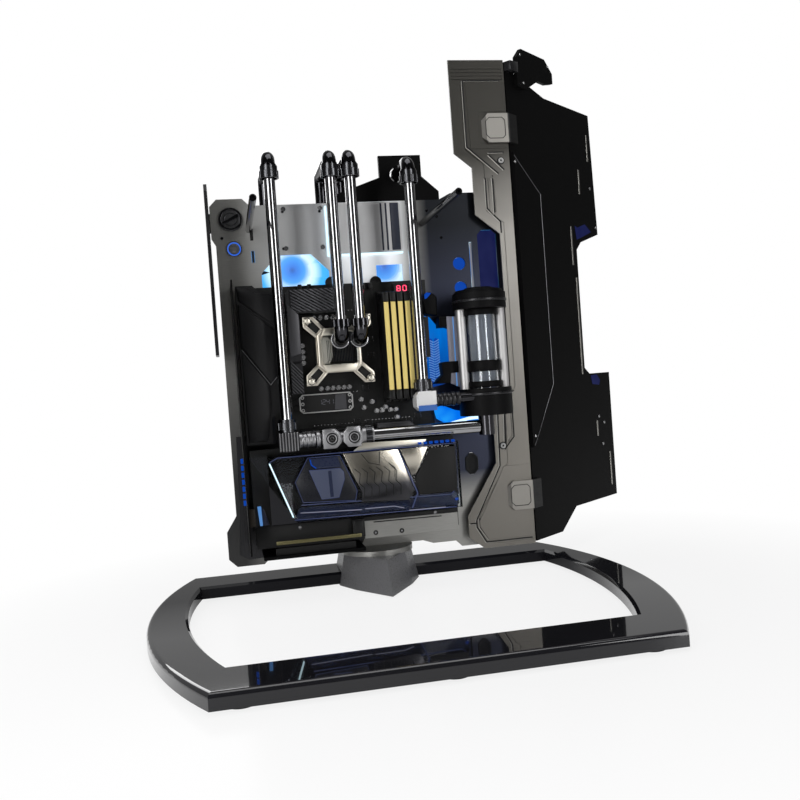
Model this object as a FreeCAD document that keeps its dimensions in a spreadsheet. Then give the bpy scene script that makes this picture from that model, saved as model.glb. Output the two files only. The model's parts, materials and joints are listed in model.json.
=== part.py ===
import FreeCAD, Part
import math
import os
import types
import Sketcher

# Open-frame water-cooled computer: a plate that carries the boards and the cooling loop, beside a tall
# tower, on a ring-shaped stand. +Z is up, the boards face -Y, and the origin lies on the floor.
# Every dimension is in millimetres. Names that end in _x and _z, and the edges of what the plate
# carries, are measured from the core: the processor's centre, seen on the plate. The plate's foot
# follows the board's height, and the toe, the card, the riser and the tower's foot are measured from it.

SIZES = {
    # Stand
    "foot_height": 4, "foot_radius": 13, "foot_inset": 22, "foot_side_inset": 26, "ring_x": -62.75,
    "ring_front": -284.5, "ring_depth": 480, "ring_height": 15, "ring_front_half": 210,
    "ring_back_half": 237, "ring_end_radius": 565, "ring_front_rail": 68, "ring_back_rail": 66,
    "ring_inner_front_half": 194, "ring_inner_back_half": 225, "ring_inner_radius": 630,
    "ring_edge_round": 5, "ring_inner_chamfer": 3, "pedestal_gap": 2, "pedestal_top": 42,
    "pedestal_half": 52, "pedestal_reach": 94, "pedestal_back": 58, "pedestal_taper": 8,
    "pedestal_rake": 22, "pedestal_cheek": 0.7, "pedestal_bow": 0.38, "boss_radius": 46, "boss_height": 6,
    "boss_tab_width": 70, "boss_tab_height": 45, "boss_tab_thickness": 6,
    # Main plate
    "core_x": -97.75, "plate_front": 133.5, "plate_thickness": 4, "foot_margin": 35, "skirt_x": 97,
    "skirt_drop": 13, "plate_left": -141, "plate_right": 240, "plate_top": 190, "plate_step_x": 150,
    "plate_step": 8, "lug_left": -146, "lug_right": -96, "lug_low": 150, "lug_corner": 9, "toe_left": -154,
    "toe_right": -100, "toe_top": 55, "toe_low": -9, "toe_corner": 10, "window_x": -44, "window_z": 94,
    "window_half_width": 43, "window_half_height": 32, "window_corner": 22, "middle_window_x": 78,
    "middle_window_width": 35, "middle_window_top": 108, "middle_window_height": 26, "side_window_x": 212,
    "side_window_width": 26, "side_window_top": 148, "side_window_height": 86, "side_window_corner": 6,
    "vent_x": 172, "vent_radius": 8.5, "vent_top": 105, "vent_pitch": 32, "slit_x": 189, "slit_width": 4,
    "slit_top": 133, "slit_height": 64, "lug_slot_x": -96, "lug_slot_width": 4, "lug_slot_height": 15,
    "lug_slot_high": 146, "lug_slot_low": 118, "floor_slit_x": 79, "floor_slit_width": 92,
    "floor_slit_z": 32, "floor_slit_height": 5, "grommet_x": 170, "grommet_z": -160, "grommet_width": 18,
    "grommet_height": 29, "grommet_corner": 7, "arch_x": 126, "arch_width": 47, "arch_height": 8,
    # Tower
    "tower_front": 121.5, "cover_thickness": 3, "cover_fold": 247, "cover_top": 368, "cover_left": 172,
    "cover_shoulder": 247, "cover_waist_left": 195, "cover_waist": 228, "cover_neck": 166,
    "cover_strip_left": 227, "cover_strip_top": 140, "cover_strip_low": -62, "cover_hip_left": 200,
    "cover_hip": -83, "cover_hip_low": 94, "cover_foot_left": 157, "cover_foot_top": 28,
    "cover_foot_low": -1, "cover_bottom": -17, "cover_foot_right": 177, "groove_inset": 15,
    "strip_groove_inset": 5, "groove_end": 4, "groove_width": 1.6, "groove_depth": 1, "groove_head": 27,
    "vent_inset": 3, "vent_groove_top": 355, "vent_groove_pitch": 4.5, "vent_groove_count": 4,
    "panel_turn": 40, "panel_thickness": 3, "panel_seam": 3.5, "panel_length": 250, "panel_fold_top": 360,
    "panel_shoulder": 103, "panel_top": 338, "panel_top_end": 236, "panel_notch_end": 243,
    "panel_notch": 172, "panel_notch_top": 158, "panel_notch_bend": 130, "panel_notch_high": 142,
    "panel_notch_low": -44, "panel_notch_floor": -53, "panel_notch_mouth": 186, "panel_low": 14,
    "panel_heel": 119, "panel_heel_end": 75, "panel_bottom": -15, "rib_thickness": 5, "rib_seam": 66,
    "rib_seam_top": 199, "rib_seam_low": -64, "rib_end_top": 247, "rib_end_low": -145, "clip_reach": 35,
    "clip_wrap": 17, "clip_thickness": 5, "clip_height": 38, "clip_corner": 8, "upper_clip_z": 278,
    "lower_clip_z": 49, "hook_left": 26, "hook_low": 338, "hook_heel": 48, "hook_throat": 81, "hook_lip": 356,
    "hook_lip_end": 103, "hook_right": 123, "hook_nose": 375, "hook_top": 391, "hook_thickness": 5,
    "hook_corner": 14, "spacer_radius": 5, "spacer_inset": 12, "spacer_high": 180, "spacer_middle": -110,
    "spacer_low": 20, "arm_width": 24, "arm_thickness": 4, "arm_inset": 60, "arm_gap": 4,
    # Bracket, blade, rods and trim
    "bracket_thickness": 6, "bracket_left": 16, "bracket_right": 152, "bracket_low": 170,
    "bracket_top": 250, "bracket_head_left": 74, "bracket_head_right": 130, "bracket_neck": 222,
    "bracket_shoulder": 202, "bracket_bore_gap": 1.5, "blade_thickness": 4, "blade_x": -151,
    "blade_depth": 64, "blade_low": 2, "blade_top": 208, "blade_tab": 26, "blade_tab_height": 24,
    "blade_tab_margin": 26, "blade_corner": 10, "rod_radius": 4, "rod_length": 190,
    "rod_thread_radius": 1.65, "rod_thread_depth": 12, "badge_x": -121, "badge_z": 173, "badge_radius": 15,
    "badge_thickness": 3, "badge_rim": 2.5, "badge_recess": 1.2, "button_x": -119, "button_z": 136,
    "button_radius": 6.5, "button_gap": 0.3, "bezel_radius": 10, "bezel_wall": 1.4, "bezel_height": 1.5,
    "bezel_depth": 12, "bezel_floor": 2, "button_proud": 1.5, "button_travel": 1.2, "glow_left": -1,
    "glow_width": 98, "glow_low": 123, "glow_height": 66, "glow_thickness": 3, "glow_corner": 4,
    "io_x": -128, "io_thickness": 2, "io_depth": 96, "io_low": 19, "io_top": 86, "io_slot_count": 3,
    "io_slot_width": 6, "io_slot_height": 56, "io_slot_pitch": 14, "io_slot_drop": 32, "screw_radius": 3,
    "screw_height": 2, "screw_x": -54, "screw_z": 134, "screw_pitch_x": 47, "screw_pitch_z": 50,
    "low_screw_x": 37, "low_screw_z": 16, "low_screw_pitch": 34,
    # Board
    "standoff_height": 6.5, "standoff_radius": 3, "board_left": -122, "board_width": 244, "board_top": 85,
    "board_height": 305, "board_thickness": 1.6, "board_hole_inset": 7, "board_hole_pitch": 132,
    "shroud_width": 48, "shroud_low": -110, "shroud_depth": 36, "shroud_step": 20, "shroud_corner": 8,
    "shroud_waist": 12, "shroud_waist_z": -64, "shroud_gap": 1, "sink_left": -62, "sink_top": 78,
    "sink_width": 68, "sink_height": 30, "sink_depth": 28, "sink_slot": 3, "sink_slot_depth": 14,
    "sink_slot_pitch": 9, "sink_slot_count": 6, "sink_slant": 14, "side_sink_width": 15,
    "side_sink_height": 98, "side_sink_low": -52, "side_slot_start": 1.5, "side_slot_pitch": 18,
    "cover_plate_left": -53, "cover_plate_width": 68, "cover_plate_z": -77, "cover_plate_height": 24,
    "cover_plate_depth": 12, "cover_plate_corner": 5, "slot_x": 60, "slot_pitch": 9, "slot_width": 7,
    "slot_length": 142, "slot_height": 9, "slot_z": 0, "module_length": 133, "module_board": 1.3,
    "module_height": 31, "spreader_length": 112, "spreader_width": 6.6, "spreader_height": 33,
    "spreader_notch": 3, "spreader_lift": 4, "power_x": 112, "power_width": 8, "power_length": 52,
    "power_height": 12, "power_z": 10, "lane_x": -52, "lane_length": 90, "lane_width": 7, "lane_height": 11,
    "lane_z": -104, "lane_pitch": 61, "socket_width": 46, "socket_height": 8,
    # Processor block
    "hole_pitch": 75, "bracket_arm": 11, "bracket_plate": 4, "bracket_waist": 24, "block_front": 101.5,
    "block_width": 56, "block_corner": 10, "block_cover_depth": 12, "post_radius": 2.5, "post_head": 4.5,
    "post_head_height": 8,
    # Graphics card
    "card_left": -120, "card_width": 254, "card_rise": 139, "card_height": 115, "card_thickness": 1.6,
    "card_front": 83.5, "finger_left": -92, "finger_width": 88, "finger_height": 6, "cold_left": -100,
    "cold_width": 230, "cold_drop": 7, "cold_height": 84, "cold_depth": 12, "glass_left": -122,
    "glass_width": 256, "glass_slope": 52, "glass_height": 82, "glass_depth": 14, "riser_width": 98,
    "riser_height": 8, "riser_depth": 12, "shelf_left": -112, "shelf_width": 124, "shelf_thickness": 4,
    "shelf_lip": 14,
    # Cooling loop
    "tube_radius": 7, "tube_wall": 2, "tube_y": 71.5, "tube_top": 214, "bend_radius": 11.5,
    "elbow_radius": 8.6, "elbow_neck": 2.5, "elbow_rise": 9.5, "collar_radius": 10.8, "collar_length": 15,
    "collar_gap": 0.05, "gpu_tube_x": -73, "inlet_tube_x": 1, "outlet_tube_x": 25, "reservoir_tube_x": 98,
    "reservoir_tube_drop": 10, "cpu_tube_low": 27, "cpu_bend": 12, "cpu_elbow_radius": 9, "cross_rise": 8,
    "cross_radius": 8, "fitting_size": 24, "fitting_corner": 5, "adapter_radius": 7, "terminal_left": -33,
    "terminal_size": 23, "terminal_pitch": 27, "terminal_corner": 6, "port_radius": 8, "port_height": 3,
    "cross_collar": 14, "white_fitting_low": -83, "pump_adapter_radius": 6, "cross_post_x": 176,
    "cross_post_radius": 10, "cross_post_drop": 11,
    # Reservoir and pump
    "tank_x": 183, "tank_y": 91.5, "tank_radius": 19, "tank_wall": 2.5, "tank_low": -61, "tank_top": 40,
    "cap_radius": 34, "cap_height": 20, "pump_height": 34, "column_radius": 6.5, "column_offset": 26,
    "tank_lug_width": 30,
    # Radiator and fans
    "fan_x": -47, "fan_z": 107, "fan_pitch": 120, "fan_size": 120, "fan_gap": 0.5, "fan_depth": 25,
    "fan_bore": 58, "fan_corner": 9, "fan_hub": 20, "fan_tip": 56.5, "fan_post": 4, "running_gap": 0.05,
    "fan_floor": 4, "fan_strut": 6, "rotor_gap": 0.5, "rotor_front": 4, "blade_count": 9, "blade_chord": 26,
    "blade_sheet": 1.6, "blade_root_pitch": 50, "blade_tip_pitch": 28, "blade_rake": 0.5,
    "fan_screw_pitch": 105, "radiator_length": 396, "radiator_height": 120, "radiator_depth": 27,
    "tank_end": 28, "rad_rail": 10, "fin_slot": 5, "fin_pitch": 10, "fin_depth": 8, "fin_margin": 6,
    # Power supply
    "supply_left": -112, "supply_width": 150, "supply_low": -190, "supply_height": 140, "supply_depth": 86,
    "supply_corner": 4, "supply_fan_radius": 56, "supply_ring": 4, "supply_recess": 2, "supply_hub": 14,
}

doc = FreeCAD.newDocument("open_frame_computer")
sheet = doc.addObject("Spreadsheet::Sheet", "Sizes")
for row, (alias, number) in enumerate(SIZES.items(), 1):
    sheet.set(f"A{row}", alias)
    sheet.set(f"B{row}", str(number))
    sheet.setAlias(f"B{row}", alias)
doc.recompute()


class Size:
    """A length that keeps the sheet expression it comes from beside its present value."""

    def __init__(self, value, text):
        self.value = float(value)
        self.text = text

    def __add__(self, other):
        other = as_size(other)
        return Size(self.value + other.value, f"({self.text} + {other.text})")

    def __sub__(self, other):
        other = as_size(other)
        return Size(self.value - other.value, f"({self.text} - {other.text})")

    def __mul__(self, other):
        other = as_size(other)
        return Size(self.value * other.value, f"{self.text} * {other.text}")

    def __truediv__(self, other):
        other = as_size(other)
        return Size(self.value / other.value, f"{self.text} / {other.text}")

    def __neg__(self):
        return Size(-self.value, f"(0 - {self.text})")

    def __radd__(self, other):
        return as_size(other) + self

    def __rsub__(self, other):
        return as_size(other) - self

    def __rmul__(self, other):
        return as_size(other) * self


def as_size(length):
    return length if isinstance(length, Size) else Size(length, f"({length})")


def cosine(angle):
    return Size(math.cos(math.radians(angle.value)), f"cos({angle.text} * 1 deg)")


def sine(angle):
    return Size(math.sin(math.radians(angle.value)), f"sin({angle.text} * 1 deg)")


def tangent(angle):
    return Size(math.tan(math.radians(angle.value)), f"tan({angle.text} * 1 deg)")


S = types.SimpleNamespace(**{alias: Size(sheet.get(alias), f"Sizes.{alias}") for alias in SIZES})
nodes = {}


# Helpers that bind each object's sizes to the sheet

def bind(item, field, size):
    item.setExpression(field, as_size(size).text)


def place(item, at):
    for axis, size in zip("xyz", at):
        bind(item, f"Placement.Base.{axis}", size)


def on_core(x, y, z):
    """A point of the plate's own layout, in the frame of the whole object."""
    return S.core_x + x, y, core_z + z


def node(label, item):
    item.Label = label
    nodes[label] = item
    return item


def box(at, sizes):
    item = doc.addObject("Part::Box", "Block")
    for field, size in zip(("Length", "Width", "Height"), sizes):
        bind(item, field, size)
    place(item, at)
    return item


TURNS = {"Z": FreeCAD.Rotation(), "X": FreeCAD.Rotation(FreeCAD.Vector(0, 1, 0), 90),
         "Y": FreeCAD.Rotation(FreeCAD.Vector(1, 0, 0), -90)}


def cylinder(at, radius, height, axis="Z"):
    item = doc.addObject("Part::Cylinder", "Round")
    item.Placement.Rotation = TURNS[axis]
    bind(item, "Radius", radius)
    bind(item, "Height", height)
    place(item, at)
    return item


def fuse(*items):
    item = doc.addObject("Part::MultiFuse", "Fused")
    item.Shapes = list(items)
    return item


def cut(base, tool):
    item = doc.addObject("Part::Cut", "Cut")
    item.Base = base
    item.Tool = tool
    return item


def group(items):
    item = doc.addObject("Part::Compound", "Group")
    item.Links = list(items)
    return item


def pipe(at, outer, inner, height, axis="Z"):
    return cut(cylinder(at, outer, height, axis), cylinder(at, inner, height, axis))


def blind_pipe(at, outer, inner, length, depth):
    """A rod along +Y with a blind hole in its front end."""
    return cut(cylinder(at, outer, length, "Y"), cylinder(at, inner, depth, "Y"))


def body(at):
    item = doc.addObject("PartDesign::Body", "Body")
    place(item, at)
    return item


def sketch_on(owner, role, offset=None):
    plane = next(feature for feature in owner.Origin.OriginFeatures if feature.Role == role)
    sketch = owner.newObject("Sketcher::SketchObject", "Sketch")
    sketch.AttachmentSupport = [(plane, "")]
    sketch.MapMode = "FlatFace"
    if offset is not None:
        bind(sketch, "AttachmentOffset.Base.z", offset)
    return sketch


def pin(sketch, item, end, point):
    """Fixes one point of a sketch by its two distances from the sketch's origin."""
    for kind, size in zip(("DistanceX", "DistanceY"), point):
        index = sketch.addConstraint(Sketcher.Constraint(kind, -1, 1, item, end, size.value))
        sketch.setExpression(f"Constraints[{index}]", size.text)


def stretch(start, end, radius):
    """A straight line, or an arc that turns left from start to end when it has a radius."""
    start, end = (FreeCAD.Vector(point[0].value, point[1].value, 0) for point in (start, end))
    if radius is None:
        return Part.LineSegment(start, end)
    chord = end - start
    left = FreeCAD.Vector(-chord.y, chord.x, 0).normalize()
    centre = (start + end) * 0.5 + left * math.sqrt(radius.value ** 2 - chord.Length ** 2 / 4)
    circle = Part.Circle(centre, FreeCAD.Vector(0, 0, 1), radius.value)
    return Part.ArcOfCircle(circle, circle.parameter(start), circle.parameter(end))


def draw(sketch, points, arcs=None, closed=True):
    """Draws an outline through points; arcs gives the radius of the stretch that leaves a point."""
    arcs = arcs or {}
    points = [(as_size(x), as_size(y)) for x, y in points]
    first = sketch.GeometryCount
    count = len(points) if closed else len(points) - 1
    ends = points[1:] + points[:1]
    sketch.addGeometry([stretch(points[i], ends[i], arcs.get(i)) for i in range(count)], False)
    joined = range(count if closed else count - 1)
    sketch.addConstraint(
        [Sketcher.Constraint("Coincident", first + i, 2, first + (i + 1) % count, 1) for i in joined])
    for i in range(count):
        pin(sketch, first + i, 1, points[i])
    if not closed:
        pin(sketch, first + count - 1, 2, points[-1])
    for i, radius in arcs.items():
        index = sketch.addConstraint(Sketcher.Constraint("Radius", first + i, radius.value))
        sketch.setExpression(f"Constraints[{index}]", radius.text)


def ring(sketch, centre, radius):
    centre = [as_size(value) for value in centre]
    radius = as_size(radius)
    middle = FreeCAD.Vector(centre[0].value, centre[1].value, 0)
    item = sketch.addGeometry(Part.Circle(middle, FreeCAD.Vector(0, 0, 1), radius.value), False)
    pin(sketch, item, 3, centre)
    index = sketch.addConstraint(Sketcher.Constraint("Radius", item, radius.value))
    sketch.setExpression(f"Constraints[{index}]", radius.text)


def rectangle(left, low, width, height):
    return [(left, low), (left + width, low), (left + width, low + height), (left, low + height)]


def clipped(left, low, width, height, corner):
    """A rectangle with its four corners cut off."""
    right = left + width
    top = low + height
    return [(left + corner, low), (right - corner, low), (right, low + corner), (right, top - corner),
            (right - corner, top), (left + corner, top), (left, top - corner), (left, low + corner)]


def pad(owner, sketch, length, backwards=False):
    feature = owner.newObject("PartDesign::Pad", "Pad")
    feature.Profile = sketch
    feature.Reversed = backwards
    bind(feature, "Length", length)
    return feature


def pocket(owner, sketch, depth, backwards=False):
    """Cuts a sketch into the body, and stops if it takes nothing away."""
    doc.recompute()
    before = owner.Shape.Volume
    feature = owner.newObject("PartDesign::Pocket", "Pocket")
    feature.Profile = sketch
    feature.Reversed = backwards
    bind(feature, "Length", depth)
    doc.recompute()
    if not owner.Shape.Volume < before:
        raise RuntimeError(f"a pocket of {owner.Label} cuts nothing")
    return feature


def plate(at, thickness, loops, circles=(), arcs=None):
    """An upright sheet whose back face is at the given place and whose front faces -Y."""
    owner = body(at)
    outline = sketch_on(owner, "XZ_Plane")
    for index, loop in enumerate(loops):
        draw(outline, loop, arcs if index == 0 else None)
    for centre, radius in circles:
        ring(outline, centre, radius)
    pad(owner, outline, thickness)
    return owner


def lies_at(level, *heights):
    return all(math.isclose(height, level, abs_tol=1e-3) for height in heights)


def soften(owner, kind, size, chosen):
    """Rounds or chamfers the edges of a body that the test picks."""
    doc.recompute()
    base = owner.Tip
    names = [f"Edge{i}" for i, edge in enumerate(base.Shape.Edges, 1) if chosen(edge)]
    feature = owner.newObject(f"PartDesign::{kind}", kind)
    feature.Base = (base, names)
    bind(feature, "Radius" if kind == "Fillet" else "Size", size)
    return feature


def quarter_bend(at, bend, radius, turn):
    """A quarter of a round bend in the YZ plane about its own centre, turned on by whole quarters."""
    owner = body(at)
    owner.Placement.Rotation = FreeCAD.Rotation(FreeCAD.Vector(1, 0, 0), turn)
    section = sketch_on(owner, "XY_Plane")
    ring(section, (0, bend), radius)
    sweep = owner.newObject("PartDesign::Revolution", "Bend")
    sweep.Profile = section
    sweep.ReferenceAxis = (section, ["H_Axis"])
    sweep.Angle = 90
    return owner


# Places that several pieces share

plate_back = S.plate_front + S.plate_thickness
board_back = S.plate_front - S.standoff_height
board_front = board_back - S.board_thickness
cover_back = S.tower_front + S.cover_thickness
ring_inner_back = S.ring_front + S.ring_depth - S.ring_back_rail
board_low = S.board_top - S.board_height
plate_foot = board_low - S.foot_margin
core_z = S.pedestal_top + S.boss_height - plate_foot
toe_low = plate_foot + S.toe_low
card_top = plate_foot + S.card_rise
cross_z = card_top + S.cross_rise
fan_back = plate_back + S.fan_depth
radiator_y = fan_back + S.radiator_depth / 2
radiator_top = S.fan_z + S.radiator_height / 2
card_back = S.card_front + S.card_thickness
cold_front = S.card_front - S.cold_depth
bracket_back = S.block_front + S.bracket_plate
fan_centres = [S.fan_x + S.fan_pitch * index for index in range(3)]
tube_places = {"gpu_tube": S.gpu_tube_x, "inlet_tube": S.inlet_tube_x, "outlet_tube": S.outlet_tube_x,
               "reservoir_tube": S.reservoir_tube_x}
tube_tops = {name: S.tube_top for name in tube_places}
tube_tops["reservoir_tube"] = S.tube_top - S.reservoir_tube_drop


# Stand

def make_base_ring():
    owner = body((S.ring_x, S.ring_front, S.foot_height))
    outline = sketch_on(owner, "XY_Plane")
    ends = {1: S.ring_end_radius, 3: S.ring_end_radius}
    draw(outline, [(-S.ring_front_half, 0), (S.ring_front_half, 0), (S.ring_back_half, S.ring_depth),
                   (-S.ring_back_half, S.ring_depth)], ends)
    inner_back = S.ring_depth - S.ring_back_rail
    inner_ends = {1: S.ring_inner_radius, 3: S.ring_inner_radius}
    front_half, back_half = S.ring_inner_front_half, S.ring_inner_back_half
    draw(outline, [(-front_half, S.ring_front_rail), (front_half, S.ring_front_rail), (back_half, inner_back),
                   (-back_half, inner_back)], inner_ends)
    pad(owner, outline, S.ring_height)
    top = S.ring_height.value
    margin = S.ring_edge_round.value
    low, high = S.ring_front_rail.value - margin, inner_back.value + margin

    def at_top(edge):
        return lies_at(top, edge.BoundBox.ZMin, edge.BoundBox.ZMax)

    def is_inner(edge):
        return low < edge.BoundBox.YMin and edge.BoundBox.YMax < high

    soften(owner, "Fillet", S.ring_edge_round, lambda edge: at_top(edge) and not is_inner(edge))
    soften(owner, "Chamfer", S.ring_inner_chamfer, lambda edge: at_top(edge) and is_inner(edge))
    return node("base_ring", owner)


def make_base_feet():
    feet = []
    for y, half in ((S.ring_front + S.foot_inset, S.ring_front_half),
                    (S.ring_front + S.ring_depth - S.foot_inset, S.ring_back_half)):
        for side in (-1, 0, 1):
            x = S.ring_x + (half - S.foot_side_inset) * side
            feet.append(cylinder((x, y, 0), S.foot_radius, S.foot_height))
    return node("base_feet", group(feet))


def prow(sketch, half, reach, back):
    """The column's plan: a blunt bow towards the front and a square stern."""
    cheek, bow = half * S.pedestal_cheek, reach * S.pedestal_bow
    draw(sketch, [(-half, back), (-half, 0), (-cheek, -bow), (0, -reach), (cheek, -bow), (half, 0),
                  (half, back)])


def make_pedestal(base_ring):
    owner = body((S.ring_x, ring_inner_back, S.pedestal_gap))
    low = sketch_on(owner, "XY_Plane")
    prow(low, S.pedestal_half, S.pedestal_reach, S.pedestal_back)
    high = sketch_on(owner, "XY_Plane", S.pedestal_top - S.pedestal_gap)
    prow(high, S.pedestal_half - S.pedestal_taper, S.pedestal_reach - S.pedestal_rake,
         S.pedestal_back - S.pedestal_taper)
    loft = owner.newObject("PartDesign::AdditiveLoft", "Column")
    loft.Profile = low
    loft.Sections = [high]
    loft.Ruled = True
    seat = fuse(base_ring, nodes["base_feet"])
    return node("pedestal", cut(owner, seat))


def make_mount_boss():
    disc = cylinder((S.ring_x, S.plate_front, S.pedestal_top), S.boss_radius, S.boss_height)
    tab = box((S.ring_x - S.boss_tab_width / 2, plate_back, S.pedestal_top),
              (S.boss_tab_width, S.boss_tab_thickness, S.boss_height + S.boss_tab_height))
    return node("mount_boss", fuse(disc, tab))


# Main plate and what is screwed to it

def make_main_plate():
    low = plate_foot - S.skirt_drop
    arch_left = S.arch_x - S.arch_width / 2 + S.arch_height
    arch_right = S.arch_x + S.arch_width / 2
    step_right = S.plate_step_x + S.plate_step * 2
    toe_top = plate_foot + S.toe_top
    outline = [
        (S.toe_left + S.toe_corner, toe_low), (S.toe_right - S.toe_corner, toe_low),
        (S.toe_right, plate_foot), (S.skirt_x, plate_foot), (arch_left, low + S.arch_height),
        (arch_right - S.arch_height, low + S.arch_height),
        (arch_right, low), (S.plate_right, low), (S.plate_right, S.plate_top + S.plate_step),
        (step_right, S.plate_top + S.plate_step), (S.plate_step_x, S.plate_top),
        (S.lug_right, S.plate_top), (S.lug_right - S.lug_corner, S.plate_top + S.lug_corner),
        (S.lug_left + S.lug_corner, S.plate_top + S.lug_corner), (S.lug_left, S.plate_top),
        (S.lug_left, S.lug_low), (S.plate_left, S.lug_low - S.lug_corner),
        (S.plate_left, toe_top), (S.toe_left, toe_top - S.toe_corner * 2),
        (S.toe_left, toe_low + S.toe_corner)]
    window = clipped(S.window_x - S.window_half_width, S.window_z - S.window_half_height,
                     S.window_half_width * 2, S.window_half_height * 2, S.window_corner)
    middle_low = S.middle_window_top - S.middle_window_height
    middle = rectangle(S.middle_window_x - S.middle_window_width / 2, middle_low, S.middle_window_width,
                       S.middle_window_height)
    side = clipped(S.side_window_x - S.side_window_width / 2, S.side_window_top - S.side_window_height,
                   S.side_window_width, S.side_window_height, S.side_window_corner)
    slit = rectangle(S.slit_x - S.slit_width / 2, S.slit_top - S.slit_height, S.slit_width, S.slit_height)
    slots = [rectangle(S.lug_slot_x - S.lug_slot_width / 2, z, S.lug_slot_width, S.lug_slot_height)
             for z in (S.lug_slot_high, S.lug_slot_low)]
    floor_slit = rectangle(S.floor_slit_x - S.floor_slit_width / 2, plate_foot + S.floor_slit_z,
                           S.floor_slit_width, S.floor_slit_height)
    grommet = clipped(S.grommet_x - S.grommet_width / 2, S.grommet_z - S.grommet_height / 2, S.grommet_width,
                      S.grommet_height, S.grommet_corner)
    vents = [((S.vent_x, S.vent_top - S.vent_pitch * row), S.vent_radius) for row in range(2)]
    button_hole = ((S.button_x, S.button_z), S.button_radius + S.button_gap + S.bezel_wall)
    owner = plate(on_core(0, plate_back, 0), S.plate_thickness,
                  [outline, window, middle, side, slit, *slots, floor_slit, grommet], [*vents, button_hole])
    return node("main_plate", fuse(owner, *board_standoffs()))


def make_rear_top_bracket():
    outline = [(S.bracket_left, S.bracket_low), (S.bracket_right, S.bracket_low),
               (S.bracket_right, S.bracket_shoulder), (S.bracket_head_right, S.bracket_neck),
               (S.bracket_head_right, S.bracket_top), (S.bracket_head_left, S.bracket_top),
               (S.bracket_head_left, S.bracket_neck), (S.bracket_left, S.bracket_shoulder)]
    pipe_z = tube_tops["reservoir_tube"] + S.elbow_rise + S.bend_radius
    bore = ((S.reservoir_tube_x, pipe_z), S.elbow_radius + S.bracket_bore_gap)
    at = on_core(0, plate_back + S.bracket_thickness, 0)
    return node("rear_top_bracket", plate(at, S.bracket_thickness, [outline], [bore]))


def make_side_blade():
    """A narrow upright blade beside the plate, held by a tab behind the plate's lug."""
    owner = body(on_core(S.blade_x, plate_back + S.blade_thickness, 0))
    outline = sketch_on(owner, "YZ_Plane")
    front, corner = -S.blade_depth, S.blade_corner
    draw(outline, [(front, S.blade_low + corner), (front + corner, S.blade_low), (0, S.blade_low),
                   (0, S.blade_top), (front + corner, S.blade_top), (front, S.blade_top - corner)])
    pad(owner, outline, S.blade_thickness)
    tab = box(on_core(S.blade_x, plate_back, S.blade_top - S.blade_tab_margin - S.blade_tab_height),
              (S.blade_tab, S.blade_thickness, S.blade_tab_height))
    return node("side_blade", fuse(owner, tab))


def make_standoff_rods():
    """Two long rods at the outer fan screws, with a thread in each tip for a front panel."""
    z = S.fan_z + S.fan_screw_pitch / 2
    rods = []
    for x in (fan_centres[0] - S.fan_screw_pitch / 2, fan_centres[1] + S.fan_screw_pitch / 2):
        at = on_core(x, S.plate_front - S.rod_length, z)
        rods.append(blind_pipe(at, S.rod_radius, S.rod_thread_radius, S.rod_length, S.rod_thread_depth))
    return node("standoff_rods", group(rods))


def make_badge():
    """A plain round medallion with a raised rim."""
    at = on_core(S.badge_x, S.plate_front - S.badge_thickness, S.badge_z)
    return node("badge", blind_pipe(at, S.badge_radius, S.badge_radius - S.badge_rim, S.badge_thickness,
                                    S.badge_recess))


def make_power_button():
    well = S.button_radius + S.button_gap
    sleeve = well + S.bezel_wall
    rear = S.plate_front + S.bezel_depth
    flange = cylinder(on_core(S.button_x, S.plate_front - S.bezel_height, S.button_z), S.bezel_radius,
                      S.bezel_height, "Y")
    barrel = cylinder(on_core(S.button_x, S.plate_front, S.button_z), sleeve, S.bezel_depth, "Y")
    hole = cylinder(on_core(S.button_x, S.plate_front - S.bezel_height, S.button_z), well,
                    S.bezel_height + S.bezel_depth - S.bezel_floor, "Y")
    node("button_bezel", cut(fuse(flange, barrel), hole))
    front = S.plate_front - S.bezel_height - S.button_proud
    length = rear - S.bezel_floor - S.button_travel - S.button_gap - front
    node("power_button", cylinder(on_core(S.button_x, front, S.button_z), S.button_radius, length, "Y"))


def make_light_panel():
    loop = clipped(S.glow_left, S.glow_low, S.glow_width, S.glow_height, S.glow_corner)
    return node("light_panel", plate(on_core(0, S.plate_front, 0), S.glow_thickness, [loop]))


def make_io_panel():
    """The upright panel on the plate's left, with slots for the card's outlets."""
    owner = body(on_core(S.io_x, S.plate_front, 0))
    outline = sketch_on(owner, "YZ_Plane")
    low = plate_foot + S.io_low
    draw(outline, rectangle(-S.io_depth, low, S.io_depth, S.io_top - low))
    slot_low = card_top - S.io_slot_drop - S.io_slot_height / 2
    for index in range(int(S.io_slot_count.value)):
        left = -S.io_depth + S.io_slot_pitch * (index + 1)
        draw(outline, rectangle(left, slot_low, S.io_slot_width, S.io_slot_height))
    pad(owner, outline, S.io_thickness)
    return node("io_panel", owner)


def make_screws():
    """Heads on the plate's front, and the posts that hold the processor block."""
    spots = [(S.screw_x + S.screw_pitch_x * i, S.screw_z + S.screw_pitch_z * j)
             for i in (0, 1) for j in (0, 1)]
    spots += [(S.low_screw_x + S.low_screw_pitch * i, plate_foot + S.low_screw_z) for i in (0, 1)]
    heads = [cylinder(on_core(x, S.plate_front - S.screw_height, z), S.screw_radius, S.screw_height, "Y")
             for x, z in spots]
    for i in (-1, 1):
        for j in (-1, 1):
            x, z = S.hole_pitch * (i / 2), S.hole_pitch * (j / 2)
            post = cylinder(on_core(x, bracket_back, z), S.post_radius, board_front - bracket_back, "Y")
            head = cylinder(on_core(x, S.block_front - S.post_head_height, z), S.post_head,
                            S.post_head_height, "Y")
            neck = cylinder(on_core(x, S.block_front, z), S.post_radius, S.bracket_plate, "Y")
            heads.append(fuse(post, neck, head))
    return node("screws", group(heads))


# Tower

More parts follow.
